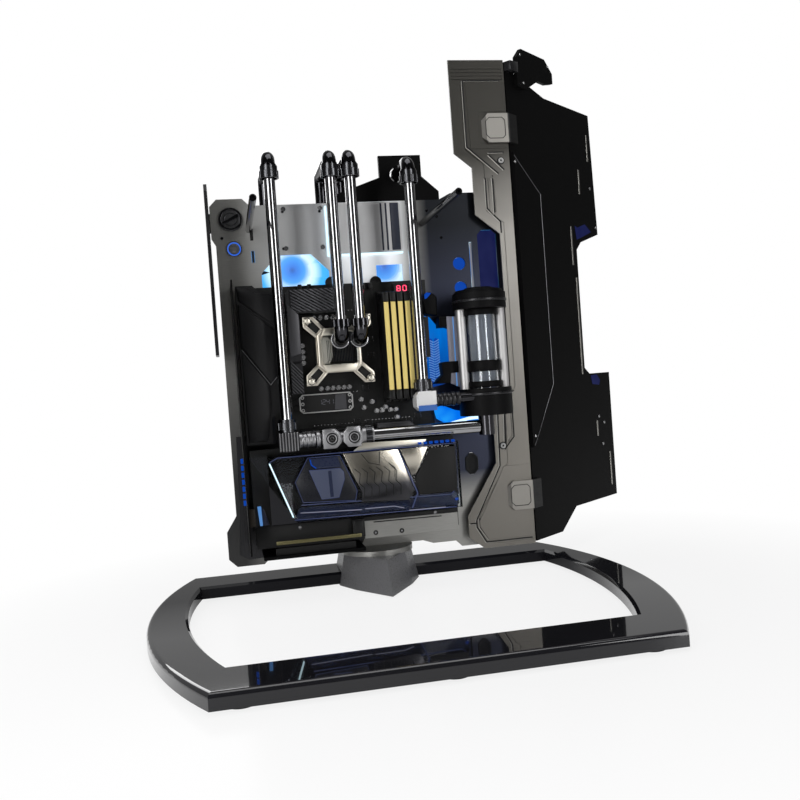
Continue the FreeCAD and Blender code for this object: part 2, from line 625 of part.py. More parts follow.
def groove_band(path):
    """A narrow closed outline that follows a path and comes back one groove's width to the right."""
    return path + [(x + S.groove_width, z) for x, z in reversed(path)]


def make_tower_cover():
    """A satin front sheet with stepped edges, and engraved lines that follow them."""
    right = S.cover_fold
    bottom, foot_low = plate_foot + S.cover_bottom, plate_foot + S.cover_foot_low
    foot_top, hip_low = plate_foot + S.cover_foot_top, plate_foot + S.cover_hip_low
    outline = [(S.cover_foot_right, bottom), (right, bottom), (right, S.cover_top),
               (S.cover_left, S.cover_top), (S.cover_left, S.cover_shoulder),
               (S.cover_waist_left, S.cover_waist), (S.cover_waist_left, S.cover_neck),
               (S.cover_strip_left, S.cover_strip_top), (S.cover_strip_left, S.cover_strip_low),
               (S.cover_hip_left, S.cover_hip), (S.cover_hip_left, hip_low),
               (S.cover_foot_left, foot_top), (S.cover_foot_left, foot_low)]
    owner = plate(on_core(0, cover_back, 0), S.cover_thickness, [outline])
    grooves = sketch_on(owner, "XZ_Plane", S.cover_thickness)
    inset, strip = S.groove_inset, S.cover_strip_left + S.strip_groove_inset
    follow = [(S.cover_left + inset, S.cover_top - S.groove_head),
              (S.cover_left + inset, S.cover_shoulder + S.groove_end),
              (S.cover_waist_left + inset, S.cover_waist + S.groove_end),
              (S.cover_waist_left + inset, S.cover_neck + S.groove_end), (strip, S.cover_strip_top + inset),
              (strip, S.cover_strip_low), (S.cover_hip_left + inset, S.cover_hip),
              (S.cover_hip_left + inset, hip_low), (S.cover_foot_left + inset, foot_top),
              (S.cover_foot_left + inset, foot_low + S.groove_end)]
    draw(grooves, groove_band(follow))
    for index in range(int(S.vent_groove_count.value)):
        draw(grooves, rectangle(S.cover_left + S.vent_inset, S.vent_groove_top - S.vent_groove_pitch * index,
                                right - S.cover_left - S.vent_inset * 2, S.groove_width))
    draw(grooves, rectangle(S.cover_foot_right + inset, bottom + S.strip_groove_inset,
                            right - S.cover_foot_right - inset - S.vent_inset, S.groove_width))
    pocket(owner, grooves, S.groove_depth)
    return node("tower_cover", owner)


def panel_body(offset):
    """A body in the side panel's own plane: X runs back along the panel, and -Y faces outwards."""
    run, rise = cosine(S.panel_turn), sine(S.panel_turn)
    owner = body(on_core(S.cover_fold - rise * offset, S.tower_front + run * offset, 0))
    owner.Placement.Rotation = FreeCAD.Rotation(FreeCAD.Vector(0, 0, 1), S.panel_turn.value)
    bind(owner, "Placement.Rotation.Angle", S.panel_turn)
    return owner


def make_side_panel():
    """The black sheet that runs back from the fold, and the raised rib along its front edge."""
    start = S.panel_seam
    end = S.panel_length
    owner = panel_body(S.panel_thickness)
    outline = sketch_on(owner, "XZ_Plane")
    bottom, low = plate_foot + S.panel_bottom, plate_foot + S.panel_low
    draw(outline, [(start, bottom), (S.panel_heel_end, bottom), (S.panel_heel, low), (end, low),
                   (end, S.panel_notch_floor), (S.panel_notch_mouth, S.panel_notch_floor),
                   (S.panel_notch, S.panel_notch_low), (S.panel_notch, S.panel_notch_bend),
                   (S.panel_notch_mouth, S.panel_notch_high), (S.panel_notch_end, S.panel_notch_top),
                   (S.panel_top_end, S.panel_top), (S.panel_shoulder, S.panel_top),
                   (start, S.panel_fold_top)])
    pad(owner, outline, S.panel_thickness)
    node("tower_side_panel", owner)
    rib = panel_body(as_size(0))
    shape = sketch_on(rib, "XZ_Plane")
    draw(shape, [(start, S.rib_end_low), (S.rib_seam, S.rib_seam_low), (S.rib_seam, S.rib_seam_top),
                 (start, S.rib_end_top)])
    pad(rib, shape, S.rib_thickness)
    node("tower_rib", rib)


def make_tower_clips():
    """Two clips that wrap the fold and hold the cover to the side panel."""
    half_turn = tangent(S.panel_turn / 2)
    run, rise = cosine(S.panel_turn), sine(S.panel_turn)
    thick, wrap = S.clip_thickness, S.clip_wrap
    clips = []
    for z in (S.upper_clip_z, plate_foot + S.lower_clip_z):
        owner = body(on_core(S.cover_fold, S.tower_front, z - S.clip_height / 2))
        outline = sketch_on(owner, "XY_Plane")
        draw(outline, [(-S.clip_reach, 0), (-S.clip_reach + thick, -thick), (half_turn * thick, -thick),
                       (run * wrap + rise * thick, rise * wrap - run * thick), (run * wrap, rise * wrap),
                       (0, 0)])
        pad(owner, outline, S.clip_height)
        corners = sketch_on(owner, "XZ_Plane", thick)
        inner = S.clip_corner - S.clip_reach
        draw(corners, [(-S.clip_reach, 0), (inner, 0), (-S.clip_reach, S.clip_corner)])
        draw(corners, [(-S.clip_reach, S.clip_height), (-S.clip_reach, S.clip_height - S.clip_corner),
                       (inner, S.clip_height)])
        pocket(owner, corners, thick)
        clips.append(owner)
    return node("tower_clips", group(clips))


def make_hook_bracket():
    """The hook plate on the side panel's upper edge."""
    owner = panel_body(as_size(0))
    outline = sketch_on(owner, "XZ_Plane")
    corner = S.hook_corner
    draw(outline, [(S.hook_left, S.hook_low), (S.hook_heel, S.hook_low), (S.hook_throat, S.hook_lip),
                   (S.hook_lip_end, S.hook_lip), (S.hook_right, S.hook_nose - corner),
                   (S.hook_right, S.hook_nose), (S.hook_lip_end, S.hook_top),
                   (S.hook_left + corner, S.hook_top), (S.hook_left, S.hook_top - corner)])
    pad(owner, outline, S.hook_thickness)
    return node("top_hook_bracket", owner)


def tower_spacers():
    """Round spacers between the plate and the tower's cover."""
    x = S.plate_right - S.spacer_inset + S.spacer_radius
    gap = S.plate_front - cover_back
    posts = [cylinder(on_core(x, cover_back, z), S.spacer_radius, gap, "Y")
             for z in (S.spacer_high, S.spacer_middle, plate_foot + S.spacer_low)]
    return posts


def make_tower_mounts():
    """The cover's spacers, and bent straps from the plate's back to the inside of the side panel."""
    run, rise = cosine(S.panel_turn), sine(S.panel_turn)
    inside_x = S.cover_fold - rise * S.panel_thickness
    inside_y = S.tower_front + run * S.panel_thickness
    far = (inside_x + run * S.panel_notch, inside_y + rise * S.panel_notch)
    near_reach = (plate_back + S.arm_thickness - inside_y) / rise
    arms = []
    for z in (radiator_top + S.arm_gap, toe_low + S.arm_inset):
        owner = body(on_core(0, 0, z))
        outline = sketch_on(owner, "XY_Plane")
        thick = S.arm_thickness
        draw(outline, [(S.plate_right - S.arm_inset, plate_back), (S.plate_right, plate_back),
                       (inside_x + run * near_reach, inside_y + rise * near_reach), far,
                       (far[0] - rise * thick, far[1] + run * thick),
                       (S.plate_right - S.spacer_inset, plate_back + thick * 2),
                       (S.plate_right - S.arm_inset, plate_back + thick * 2)])
        pad(owner, outline, S.arm_width)
        arms.append(owner)
    return node("tower_mounts", group(tower_spacers() + arms))


# Board

def make_motherboard():
    return node("motherboard", plate(on_core(0, board_back, 0), S.board_thickness,
                                     [rectangle(S.board_left, board_low, S.board_width, S.board_height)]))


def board_standoffs():
    """The posts pressed into the plate that the board is screwed to."""
    left = S.board_left + S.board_hole_inset
    top = S.board_top - S.board_hole_inset
    columns = [left + (S.board_width - S.board_hole_inset * 2) * (i / 2) for i in range(3)]
    rows = [top, top - S.board_hole_pitch, board_low + S.board_hole_inset]
    return [cylinder(on_core(x, board_back, z), S.standoff_radius, S.standoff_height, "Y")
            for x in columns for z in rows]


def make_io_shroud():
    left = S.board_left
    right = left + S.shroud_width
    top = S.board_top - S.shroud_gap
    loop = [(left, S.shroud_low), (right - S.shroud_waist, S.shroud_low),
            (right - S.shroud_waist, S.shroud_waist_z - S.shroud_waist), (right, S.shroud_waist_z),
            (right, top - S.shroud_corner), (left + S.shroud_step + S.shroud_corner, top - S.shroud_corner),
            (left + S.shroud_step, top), (left, top)]
    owner = plate(on_core(0, board_front, 0), S.shroud_depth, [loop])
    front = -S.shroud_depth.value

    def long_front_edge(edge):
        extent = edge.BoundBox
        return (lies_at(front, extent.YMin, extent.YMax) and extent.ZLength > S.shroud_step.value
                and extent.XMax > left.value + S.shroud_step.value)

    soften(owner, "Chamfer", S.shroud_corner / 2, long_front_edge)
    return node("io_shroud", owner)


def make_vrm_heatsinks():
    """Two finned blocks: the upper one has slanted slots, the side one straight slots across it."""
    low = S.sink_top - S.sink_height
    upper = plate(on_core(0, board_front, 0), S.sink_depth,
                  [clipped(S.sink_left, low, S.sink_width, S.sink_height, S.shroud_corner / 2)])
    slots = sketch_on(upper, "XZ_Plane", S.sink_depth)
    for index in range(int(S.sink_slot_count.value)):
        left = S.sink_left + S.sink_slot * 2 + S.sink_slot_pitch * index
        draw(slots, [(left + S.sink_slant, low + S.sink_slot),
                     (left + S.sink_slant + S.sink_slot, low + S.sink_slot),
                     (left + S.sink_slot, S.sink_top - S.sink_slot), (left, S.sink_top - S.sink_slot)])
    pocket(upper, slots, S.sink_slot_depth)
    side = plate(on_core(0, board_front, 0), S.sink_depth,
                 [rectangle(S.sink_left, S.side_sink_low, S.side_sink_width, S.side_sink_height)])
    cuts = sketch_on(side, "XZ_Plane", S.sink_depth)
    for index in range(int(S.sink_slot_count.value)):
        z = S.side_sink_low + S.side_slot_start + S.side_slot_pitch * index
        draw(cuts, rectangle(S.sink_left, z, S.side_sink_width, S.sink_slot))
    pocket(side, cuts, S.sink_slot_depth)
    return node("vrm_heatsinks", group([upper, side]))


def make_display_cover():
    loop = clipped(S.cover_plate_left, S.cover_plate_z, S.cover_plate_width, S.cover_plate_height,
                   S.cover_plate_corner)
    return node("display_cover", plate(on_core(0, board_front, 0), S.cover_plate_depth, [loop]))


def make_board_sockets():
    """The sockets soldered to the board: memory, power, expansion and processor."""
    def socket(left, low, width, height, depth):
        return box(on_core(left, board_front - depth, low), (width, depth, height))

    first, low = S.slot_x - S.slot_width / 2, S.slot_z - S.slot_length / 2
    parts = [socket(first + S.slot_pitch * i, low, S.slot_width, S.slot_length, S.slot_height)
             for i in range(4)]
    parts.append(socket(S.power_x, S.power_z - S.power_length / 2, S.power_width, S.power_length,
                        S.power_height))
    parts += [socket(S.lane_x, S.lane_z - S.lane_pitch * i, S.lane_length, S.lane_width, S.lane_height)
              for i in range(2)]
    half = S.socket_width / 2
    parts.append(socket(-half, -half, S.socket_width, S.socket_width, S.socket_height))
    return node("board_sockets", group(parts))


def make_memory_modules():
    seat = board_front - S.slot_height
    for index in range(4):
        x = S.slot_x + S.slot_pitch * index
        card = box(on_core(x - S.module_board / 2, seat - S.module_height, S.slot_z - S.module_length / 2),
                   (S.module_board, S.module_height, S.module_length))
        spreader = body(on_core(x - S.spreader_width / 2, seat - S.spreader_lift, S.slot_z))
        outline = sketch_on(spreader, "YZ_Plane")
        half, notch = S.spreader_length / 2, S.spreader_notch
        top = -S.spreader_height
        draw(outline, [(0, -half), (0, half), (top + notch, half), (top, half - notch), (top, half / 2),
                       (top + notch, half / 2 - notch), (top + notch, -half / 2 + notch), (top, -half / 2),
                       (top, -half + notch), (top + notch, -half)])
        pad(spreader, outline, S.spreader_width)
        node(f"memory_module_{index + 1}", fuse(card, spreader))


# Processor block

def make_cpu_block():
    half = S.block_width / 2
    loop = clipped(-half, -half, S.block_width, S.block_width, S.block_corner)
    socket_front = board_front - S.socket_height
    node("cpu_block_base", plate(on_core(0, socket_front, 0), socket_front - bracket_back, [loop]))
    arm = S.hole_pitch / 2
    tip = S.bracket_arm / 2
    waist = S.bracket_waist
    out = arm + tip
    corner = arm - tip
    quarter = [(half, waist), (out, corner), (out, out), (corner, out), (waist, half)]
    corners = (quarter + [(-x, z) for x, z in reversed(quarter)] + [(-x, -z) for x, z in quarter]
               + [(x, -z) for x, z in reversed(quarter)])
    holes = [((S.hole_pitch * (i / 2), S.hole_pitch * (j / 2)), S.post_radius)
             for i in (-1, 1) for j in (-1, 1)]
    node("cpu_bracket", plate(on_core(0, bracket_back, 0), S.bracket_plate, [corners], holes))
    cover = half - S.block_corner / 2
    face = clipped(-cover, -cover, cover * 2, cover * 2, S.block_corner)
    node("cpu_block_cover", plate(on_core(0, S.block_front, 0), S.block_cover_depth, [face]))


def block_elbows():
    """Two elbows from the ends of the upright tubes into the block's cover."""
    cover_front = S.block_front - S.block_cover_depth
    bend = S.cpu_bend
    radius = S.cpu_elbow_radius
    turn_z = S.cpu_tube_low - S.elbow_neck
    elbows = []
    for x in (S.inlet_tube_x, S.outlet_tube_x):
        neck = cylinder(on_core(x, S.tube_y, turn_z), radius, S.elbow_neck)
        turn = quarter_bend(on_core(x, S.tube_y + bend, turn_z), bend, radius, 180)
        nose = cylinder(on_core(x, S.tube_y + bend, turn_z - bend), radius, cover_front - S.tube_y - bend,
                        "Y")
        elbows.append(fuse(neck, turn, nose))
    return elbows


# Graphics card

def make_graphics_card():
    low = card_top - S.card_height
    seat = low - S.finger_height
    card_right, finger_right = S.card_left + S.card_width, S.finger_left + S.finger_width
    board = [(S.card_left, low), (S.finger_left, low), (S.finger_left, seat), (finger_right, seat),
             (finger_right, low), (card_right, low), (card_right, card_top), (S.card_left, card_top)]
    node("gpu_board", plate(on_core(0, card_back, 0), S.card_thickness, [board]))
    top = card_top - S.cold_drop
    node("gpu_block", plate(on_core(0, S.card_front, 0), S.cold_depth,
                            [rectangle(S.cold_left, top - S.cold_height, S.cold_width, S.cold_height)]))
    right, glass_low = S.glass_left + S.glass_width, top - S.glass_height
    glass = [(S.glass_left + S.glass_slope, glass_low), (right, glass_low), (right, top), (S.glass_left, top)]
    node("gpu_cover", plate(on_core(0, cold_front, 0), S.glass_depth, [glass]))
    middle = S.card_front + S.card_thickness / 2
    slot_left = S.finger_left - (S.riser_width - S.finger_width) / 2
    slot = box(on_core(slot_left, middle - S.riser_depth / 2, seat - S.riser_height),
               (S.riser_width, S.riser_depth, S.riser_height))
    nodes["board_sockets"].Links += [slot]
    shelf_top = seat - S.riser_height
    shelf = box(on_core(S.shelf_left, middle - S.riser_depth, shelf_top - S.shelf_thickness),
                (S.shelf_width, S.plate_front - middle + S.riser_depth, S.shelf_thickness))
    lip = box(on_core(S.shelf_left, S.plate_front - S.shelf_thickness, shelf_top - S.shelf_thickness),
              (S.shelf_width, S.shelf_thickness, S.shelf_lip + S.shelf_thickness))
    node("riser_shelf", fuse(shelf, lip))


# Cooling loop

def make_tubes():
    lows = {"gpu_tube": cross_z + S.fitting_size / 2, "inlet_tube": S.cpu_tube_low,
            "outlet_tube": S.cpu_tube_low, "reservoir_tube": S.white_fitting_low + S.fitting_size}
    inner = S.tube_radius - S.tube_wall
    for name, x in tube_places.items():
        node(name, pipe(on_core(x, S.tube_y, lows[name]), S.tube_radius, inner, tube_tops[name] - lows[name]))
    start = S.terminal_left + S.terminal_pitch + S.terminal_size + S.cross_collar
    end = S.cross_post_x - S.cross_post_radius
    node("cross_tube", pipe(on_core(start, S.tube_y, cross_z), S.cross_radius, S.cross_radius - S.tube_wall,
                            end - start, "X"))


def make_loop_elbows():
    """The block's elbows, and bent pipes from each tube's top back over the plate to the radiator."""
    bend, radius = S.bend_radius, S.elbow_radius
    pipes = []
    for name, x in tube_places.items():
        turn_z = tube_tops[name] + S.elbow_rise
        run = radiator_y - S.tube_y - bend * 2
        rear = cylinder(on_core(x, radiator_y, radiator_top), radius, turn_z - radiator_top)
        rear_bend = quarter_bend(on_core(x, radiator_y - bend, turn_z), bend, radius, 0)
        level = cylinder(on_core(x, S.tube_y + bend, turn_z + bend), radius, run, "Y")
        front_bend = quarter_bend(on_core(x, S.tube_y + bend, turn_z), bend, radius, 90)
        front = cylinder(on_core(x, S.tube_y, tube_tops[name]), radius, S.elbow_rise)
        pipes.append(fuse(rear, rear_bend, level, front_bend, front))
    return node("loop_elbows", group(pipes + block_elbows()))


def make_tube_collars():
    """Screwed collars round the ends of the tubes."""
    length = S.collar_length
    wide = S.elbow_radius + S.collar_gap
    collars = [pipe(on_core(x, S.tube_y, tube_tops[name] - S.collar_gap), S.collar_radius, wide, S.elbow_rise)
               for name, x in tube_places.items()]
    snug = S.tube_radius + S.collar_gap
    for x, z in ((S.gpu_tube_x, cross_z + S.fitting_size / 2),
                 (S.reservoir_tube_x, S.white_fitting_low + S.fitting_size)):
        collars.append(pipe(on_core(x, S.tube_y, z), S.collar_radius, snug, length))
    return node("tube_collars", group(collars))


def make_gpu_fittings():
    half = S.fitting_size / 2
    low = cross_z - half
    left = S.gpu_tube_x - half
    block = plate(on_core(left, S.tube_y + half, low), S.fitting_size,
                  [clipped(as_size(0), as_size(0), S.fitting_size, S.fitting_size, S.fitting_corner)])
    adapter = cylinder(on_core(left + S.fitting_size, S.tube_y, cross_z), S.adapter_radius,
                       S.terminal_left - left - S.fitting_size, "X")
    rotary = fuse(block, adapter)
    side = S.terminal_size
    pieces = []
    for index in range(2):
        start = S.terminal_left + S.terminal_pitch * index
        cube = plate(on_core(start, S.tube_y + side / 2, cross_z - side / 2), side,
                     [clipped(as_size(0), as_size(0), side, side, S.terminal_corner)])
        cap = cylinder(on_core(start + side / 2, S.tube_y - side / 2 - S.port_height, cross_z), S.port_radius,
                       S.port_height, "Y")
        pieces += [cube, cap]
    neck = cylinder(on_core(S.terminal_left + side, S.tube_y, cross_z), S.adapter_radius,
                    S.terminal_pitch - side, "X")
    end = S.terminal_left + S.terminal_pitch + side
    collar = cylinder(on_core(end, S.tube_y, cross_z), S.collar_radius, S.cross_collar, "X")
    node("gpu_terminal", fuse(*pieces, neck, collar))
    return rotary


def make_reservoir_fittings(rotary):
    half = S.fitting_size / 2
    left = S.reservoir_tube_x - half
    block = plate(on_core(left, S.tube_y + half, S.white_fitting_low), S.fitting_size,
                  [clipped(as_size(0), as_size(0), S.fitting_size, S.fitting_size, S.fitting_corner)])
    z = S.white_fitting_low + half
    reach = S.tank_x - S.cap_radius + S.fitting_size / 2 - (left + S.fitting_size)
    node("reservoir_fitting", block)
    adapter = cylinder(on_core(left + S.fitting_size, S.tube_y, z), S.pump_adapter_radius, reach, "X")
    post_low = cross_z - S.cross_post_drop
    post = cylinder(on_core(S.cross_post_x, S.tube_y, post_low), S.cross_post_radius,
                    S.tank_low - S.pump_height - post_low)
    node("side_fittings", group([rotary, cut(adapter, pump_round()), post]))


# Reservoir and pump

def pump_round():
    return cylinder(on_core(S.tank_x, S.tank_y, S.tank_low - S.pump_height), S.cap_radius, S.pump_height)


def make_reservoir():
    x = S.tank_x
    height = S.tank_top - S.tank_low
    inner = S.tank_radius - S.tank_wall
    node("reservoir_glass", pipe(on_core(x, S.tank_y, S.tank_low), S.tank_radius, inner, height))
    node("reservoir_columns", group(
        [cylinder(on_core(x + S.column_offset * side, S.tank_y, S.tank_low), S.column_radius, height)
         for side in (-1, 1)]))
    for label, low, tall in (("reservoir_cap", S.tank_top, S.cap_height),
                             ("pump", S.tank_low - S.pump_height, S.pump_height)):
        barrel = cylinder(on_core(x, S.tank_y, low), S.cap_radius, tall)
        lug = box(on_core(x - S.tank_lug_width / 2, S.tank_y, low),
                  (S.tank_lug_width, S.plate_front - S.tank_y, tall))
        node(label, fuse(barrel, lug))


# Radiator and fans

def make_radiator():
    """Two end tanks, two rails and a finned core."""
    middle = fan_centres[1]
    left = middle - S.radiator_length / 2
    low = S.fan_z - S.radiator_height / 2
    owner = plate(on_core(0, fan_back + S.radiator_depth, 0), S.radiator_depth,
                  [rectangle(left, low, S.radiator_length, S.radiator_height)])
    core = S.radiator_length - S.tank_end * 2
    count = int((core.value - S.fin_margin.value) // S.fin_pitch.value)
    fins = sketch_on(owner, "XZ_Plane")
    for index in range(count):
        start = left + S.tank_end + S.fin_margin + S.fin_pitch * index
        draw(fins, rectangle(start, low + S.rad_rail, S.fin_slot, S.radiator_height - S.rad_rail * 2))
    pocket(owner, fins, S.fin_depth, backwards=True)
    return node("radiator", owner)


def make_fan_frame(index, x):
    """A square frame with a round duct, four struts and a bearing post at its back."""
    half = S.fan_size / 2 - S.fan_gap / 2
    outline = clipped(x - half, S.fan_z - half, half * 2, half * 2, S.fan_corner)
    frame = plate(on_core(0, fan_back, 0), S.fan_depth, [outline], [((x, S.fan_z), S.fan_bore)])
    floor = fan_back - S.fan_floor
    hub = cylinder(on_core(x, floor, S.fan_z), S.fan_hub, S.fan_floor, "Y")
    post = cylinder(on_core(x, plate_back + S.rotor_front * 2, S.fan_z), S.fan_post,
                    floor - plate_back - S.rotor_front * 2, "Y")
    across, thin = S.fan_bore * 2 + S.fan_gap * 2, S.fan_strut
    struts = [box(on_core(x - across / 2, floor, S.fan_z - thin / 2), (across, S.fan_floor, thin)),
              box(on_core(x - thin / 2, floor, S.fan_z - across / 2), (thin, S.fan_floor, across))]
    return node(f"fan_frame_{index}", fuse(frame, hub, post, *struts))


def make_fan_rotor(index, x):
    """A hub that runs on the frame's post, with twisted blades lofted from root to tip."""
    front = plate_back + S.rotor_front
    depth = fan_back - S.fan_floor - S.rotor_gap - front
    owner = body(on_core(x, front + depth, S.fan_z))
    disc = sketch_on(owner, "XZ_Plane")
    ring(disc, (0, 0), S.fan_hub)
    pad(owner, disc, depth)
    bore = sketch_on(owner, "XZ_Plane")
    ring(bore, (0, 0), S.fan_post + S.running_gap)
    pocket(owner, bore, depth - S.rotor_front + S.rotor_gap, backwards=True)
    sections = []
    for radius, pitch in ((S.fan_hub - S.fan_floor / 2, S.blade_root_pitch), (S.fan_tip, S.blade_tip_pitch)):
        section = sketch_on(owner, "YZ_Plane", radius)
        across = S.blade_chord / 2 * cosine(pitch)
        along = S.blade_chord / 2 * sine(pitch) * S.blade_rake
        thick = S.blade_sheet / 2
        mid = -depth / 2
        draw(section, [(mid - along - thick, -across), (mid - along + thick, -across),
                       (mid + along + thick, across), (mid + along - thick, across)])
        sections.append(section)
    blade = owner.newObject("PartDesign::AdditiveLoft", "Blade")
    blade.Profile = sections[0]
    blade.Sections = sections[1:]
    blade.Ruled = True
    doc.recompute()
    pattern = owner.newObject("PartDesign::PolarPattern", "Blades")
    pattern.Originals = [blade]
    axis = next(feature for feature in owner.Origin.OriginFeatures if feature.Role == "Y_Axis")
    pattern.Axis = (axis, [""])
    pattern.Angle = 360
    bind(pattern, "Occurrences", S.blade_count)
    owner.Tip = pattern
    return node(f"fan_rotor_{index}", owner)


# Power supply

def make_power_supply():
    """A closed steel box behind the plate, with a round fan grille pressed into its back."""
    owner = plate(on_core(0, plate_back + S.supply_depth, 0), S.supply_depth,
                  [clipped(S.supply_left, S.supply_low, S.supply_width, S.supply_height, S.supply_corner)])
    grille = sketch_on(owner, "XZ_Plane")
    middle = (S.supply_left + S.supply_width / 2, S.supply_low + S.supply_height / 2)
    radius = S.supply_fan_radius
    while radius.value - S.supply_ring.value > S.supply_hub.value:
        ring(grille, middle, radius)
        ring(grille, middle, radius - S.supply_ring)
        radius = radius - S.supply_ring * 2
    pocket(owner, grille, S.supply_recess, backwards=True)
    return node("power_supply", owner)


def build():
    base_ring = make_base_ring()
    make_base_feet()
    make_pedestal(base_ring)
    make_mount_boss()
    make_main_plate()
    make_rear_top_bracket()
    make_side_blade()
    make_standoff_rods()
    make_badge()
    make_power_button()
    make_light_panel()
    make_io_panel()
    make_screws()
    make_tower_cover()
    make_side_panel()
    make_tower_clips()
    make_hook_bracket()
    make_tower_mounts()
    make_motherboard()
    make_io_shroud()
    make_vrm_heatsinks()
    make_display_cover()
    make_board_sockets()
    make_memory_modules()
    make_cpu_block()
    make_graphics_card()
    make_tubes()
    make_loop_elbows()
    make_tube_collars()
    make_reservoir_fittings(make_gpu_fittings())
    make_reservoir()
    make_radiator()
    for index, x in enumerate(fan_centres, 1):
        make_fan_frame(index, x)
        make_fan_rotor(index, x)
    make_power_supply()


def write_parts():
    doc.recompute()
    for item in doc.Objects:
        if "Invalid" in item.State or "Error" in item.State:
            raise RuntimeError(f"{item.Label} failed: {item.State}")
    os.makedirs("parts", exist_ok=True)
    for label, item in nodes.items():
        if item.Shape.isNull() or not item.Shape.isValid():
            raise RuntimeError(f"{label} has no valid shape")
        item.Shape.exportStep(f"parts/{label}.step")
    print(len(nodes), "nodes")


build()
write_parts()
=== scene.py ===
import json
import math

import bpy
from mathutils import Matrix, Vector


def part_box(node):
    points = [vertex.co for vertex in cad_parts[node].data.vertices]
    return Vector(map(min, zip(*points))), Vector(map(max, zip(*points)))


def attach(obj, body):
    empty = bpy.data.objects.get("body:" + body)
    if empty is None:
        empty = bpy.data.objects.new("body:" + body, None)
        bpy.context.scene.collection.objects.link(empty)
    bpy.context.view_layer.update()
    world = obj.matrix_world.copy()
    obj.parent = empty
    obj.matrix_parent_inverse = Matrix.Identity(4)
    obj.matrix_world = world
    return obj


# An open-frame water-cooled computer on a ring stand, dressed round its CAD solids.
# Sizes are millimetres in the lists and metres in the scene. The core is the processor's centre.

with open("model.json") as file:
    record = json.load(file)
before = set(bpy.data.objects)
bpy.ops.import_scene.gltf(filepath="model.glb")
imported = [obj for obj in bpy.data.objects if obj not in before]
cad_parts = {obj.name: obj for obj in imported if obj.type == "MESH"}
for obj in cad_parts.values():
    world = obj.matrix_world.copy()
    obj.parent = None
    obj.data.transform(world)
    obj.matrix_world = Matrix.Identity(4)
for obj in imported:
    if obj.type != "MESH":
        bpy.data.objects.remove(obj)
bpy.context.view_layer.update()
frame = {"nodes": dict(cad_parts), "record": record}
NODES = frame["nodes"]
MM = 0.001
CORE = (-97.75, 303.0)
FRAME = "frame"


def core(x, y, z):
    """A point of the plate's layout, measured from the core, in metres."""
    return Vector((CORE[0] + x, y, CORE[1] + z)) * MM


def span(box):
    """The low and high corner of a CAD node's box, measured from the core."""
    return [Vector((corner.x / MM - CORE[0], corner.y / MM, corner.z / MM - CORE[1])) for corner in box]


# Finishes

class Wire:
    """An output of a finish's nodes. Arithmetic on it adds Math nodes to the same finish."""

    def __init__(self, finish, socket):
        self.finish = finish
        self.socket = socket

    def math(self, operation, first, second):
        return self.finish.node("ShaderNodeMath", {"operation": operation}, {0: first, 1: second})

    def __add__(self, other):
        return self.math("ADD", self, other)

    def __radd__(self, other):
        return self.math("ADD", other, self)

    def __sub__(self, other):
        return self.math("SUBTRACT", self, other)

    def __rsub__(self, other):
        return self.math("SUBTRACT", other, self)

    def __mul__(self, other):
        return self.math("MULTIPLY", self, other)

    def __rmul__(self, other):
        return self.math("MULTIPLY", other, self)


class Finish:
    """A procedural material on Object coordinates, round one Principled shader."""

    def __init__(self, name, **sockets):
        self.name = name
        self.material = bpy.data.materials.new(name)
        self.material.use_nodes = True
        self.tree = self.material.node_tree
        self.shader = self.tree.nodes["Principled BSDF"]
        self.set(**sockets)

    def feed(self, socket, value):
        if isinstance(value, Wire):
            self.tree.links.new(value.socket, socket)
        else:
            socket.default_value = value

    def set(self, **sockets):
        """Feeds inputs of the shader, named with _ for their spaces."""
        for socket, value in sockets.items():
            self.feed(self.shader.inputs[socket.replace("_", " ")], value)
        return self

    def node(self, kind, settings=None, inputs=None, output=0):
        item = self.tree.nodes.new(kind)
        for field, value in (settings or {}).items():
            setattr(item, field, value)
        for key, value in (inputs or {}).items():
            self.feed(item.inputs[key], value)
        return Wire(self, item.outputs[output])

    def place(self, stretch=(1, 1, 1), turn=(0, 0, 0)):
        point = self.node("ShaderNodeTexCoord", output="Object")
        return self.node("ShaderNodeMapping", None, {"Vector": point, "Scale": stretch, "Rotation": turn})

    def axis(self, letter):
        point = self.node("ShaderNodeTexCoord", output="Object")
        return self.node("ShaderNodeSeparateXYZ", None, {0: point}, letter)

    def noise(self, scale, detail=4.0, stretch=(1, 1, 1)):
        return self.node("ShaderNodeTexNoise", None,
                         {"Vector": self.place(stretch), "Scale": scale, "Detail": detail})

    def blend(self, factor, first, second):
        return self.node("ShaderNodeMix", {"data_type": "RGBA"}, {0: factor, 6: first, 7: second}, 2)

    def ramp(self, factor, low, high, first=0.0, second=1.0):
        """Maps low..high of a value to first..second, held at both ends."""
        return self.node("ShaderNodeMapRange", None, {0: factor, 1: low, 2: high, 3: first, 4: second})

    def spread(self, grain, first, second):
        """Maps the range that a noise mostly has to first..second."""
        return self.ramp(grain, 0.3, 0.7, first, second)

    def colours(self, factor, stops):
        """Colours along a value, given as pairs of a place and a colour."""
        item = self.tree.nodes.new("ShaderNodeValToRGB")
        elements = item.color_ramp.elements
        while len(elements) < len(stops):
            elements.new(0.5)
        for element, (position, colour) in zip(elements, stops):
            element.position = position
            element.color = colour
        self.feed(item.inputs[0], factor)
        return Wire(self, item.outputs[0])

    def bump(self, height, strength, distance=0.0004):
        normal = self.node("ShaderNodeBump", None, {"Strength": strength, "Distance": distance, "Height": height})
        return self.set(Normal=normal)


def shade(*rgb):
    return (*rgb, 1.0)


def grey(value, blue=1.0):
    """A grey, with its blue part raised by a factor."""
    return shade(value, value, value * blue)


def dimmed(tint, share):
    return shade(*(share * part for part in tint))


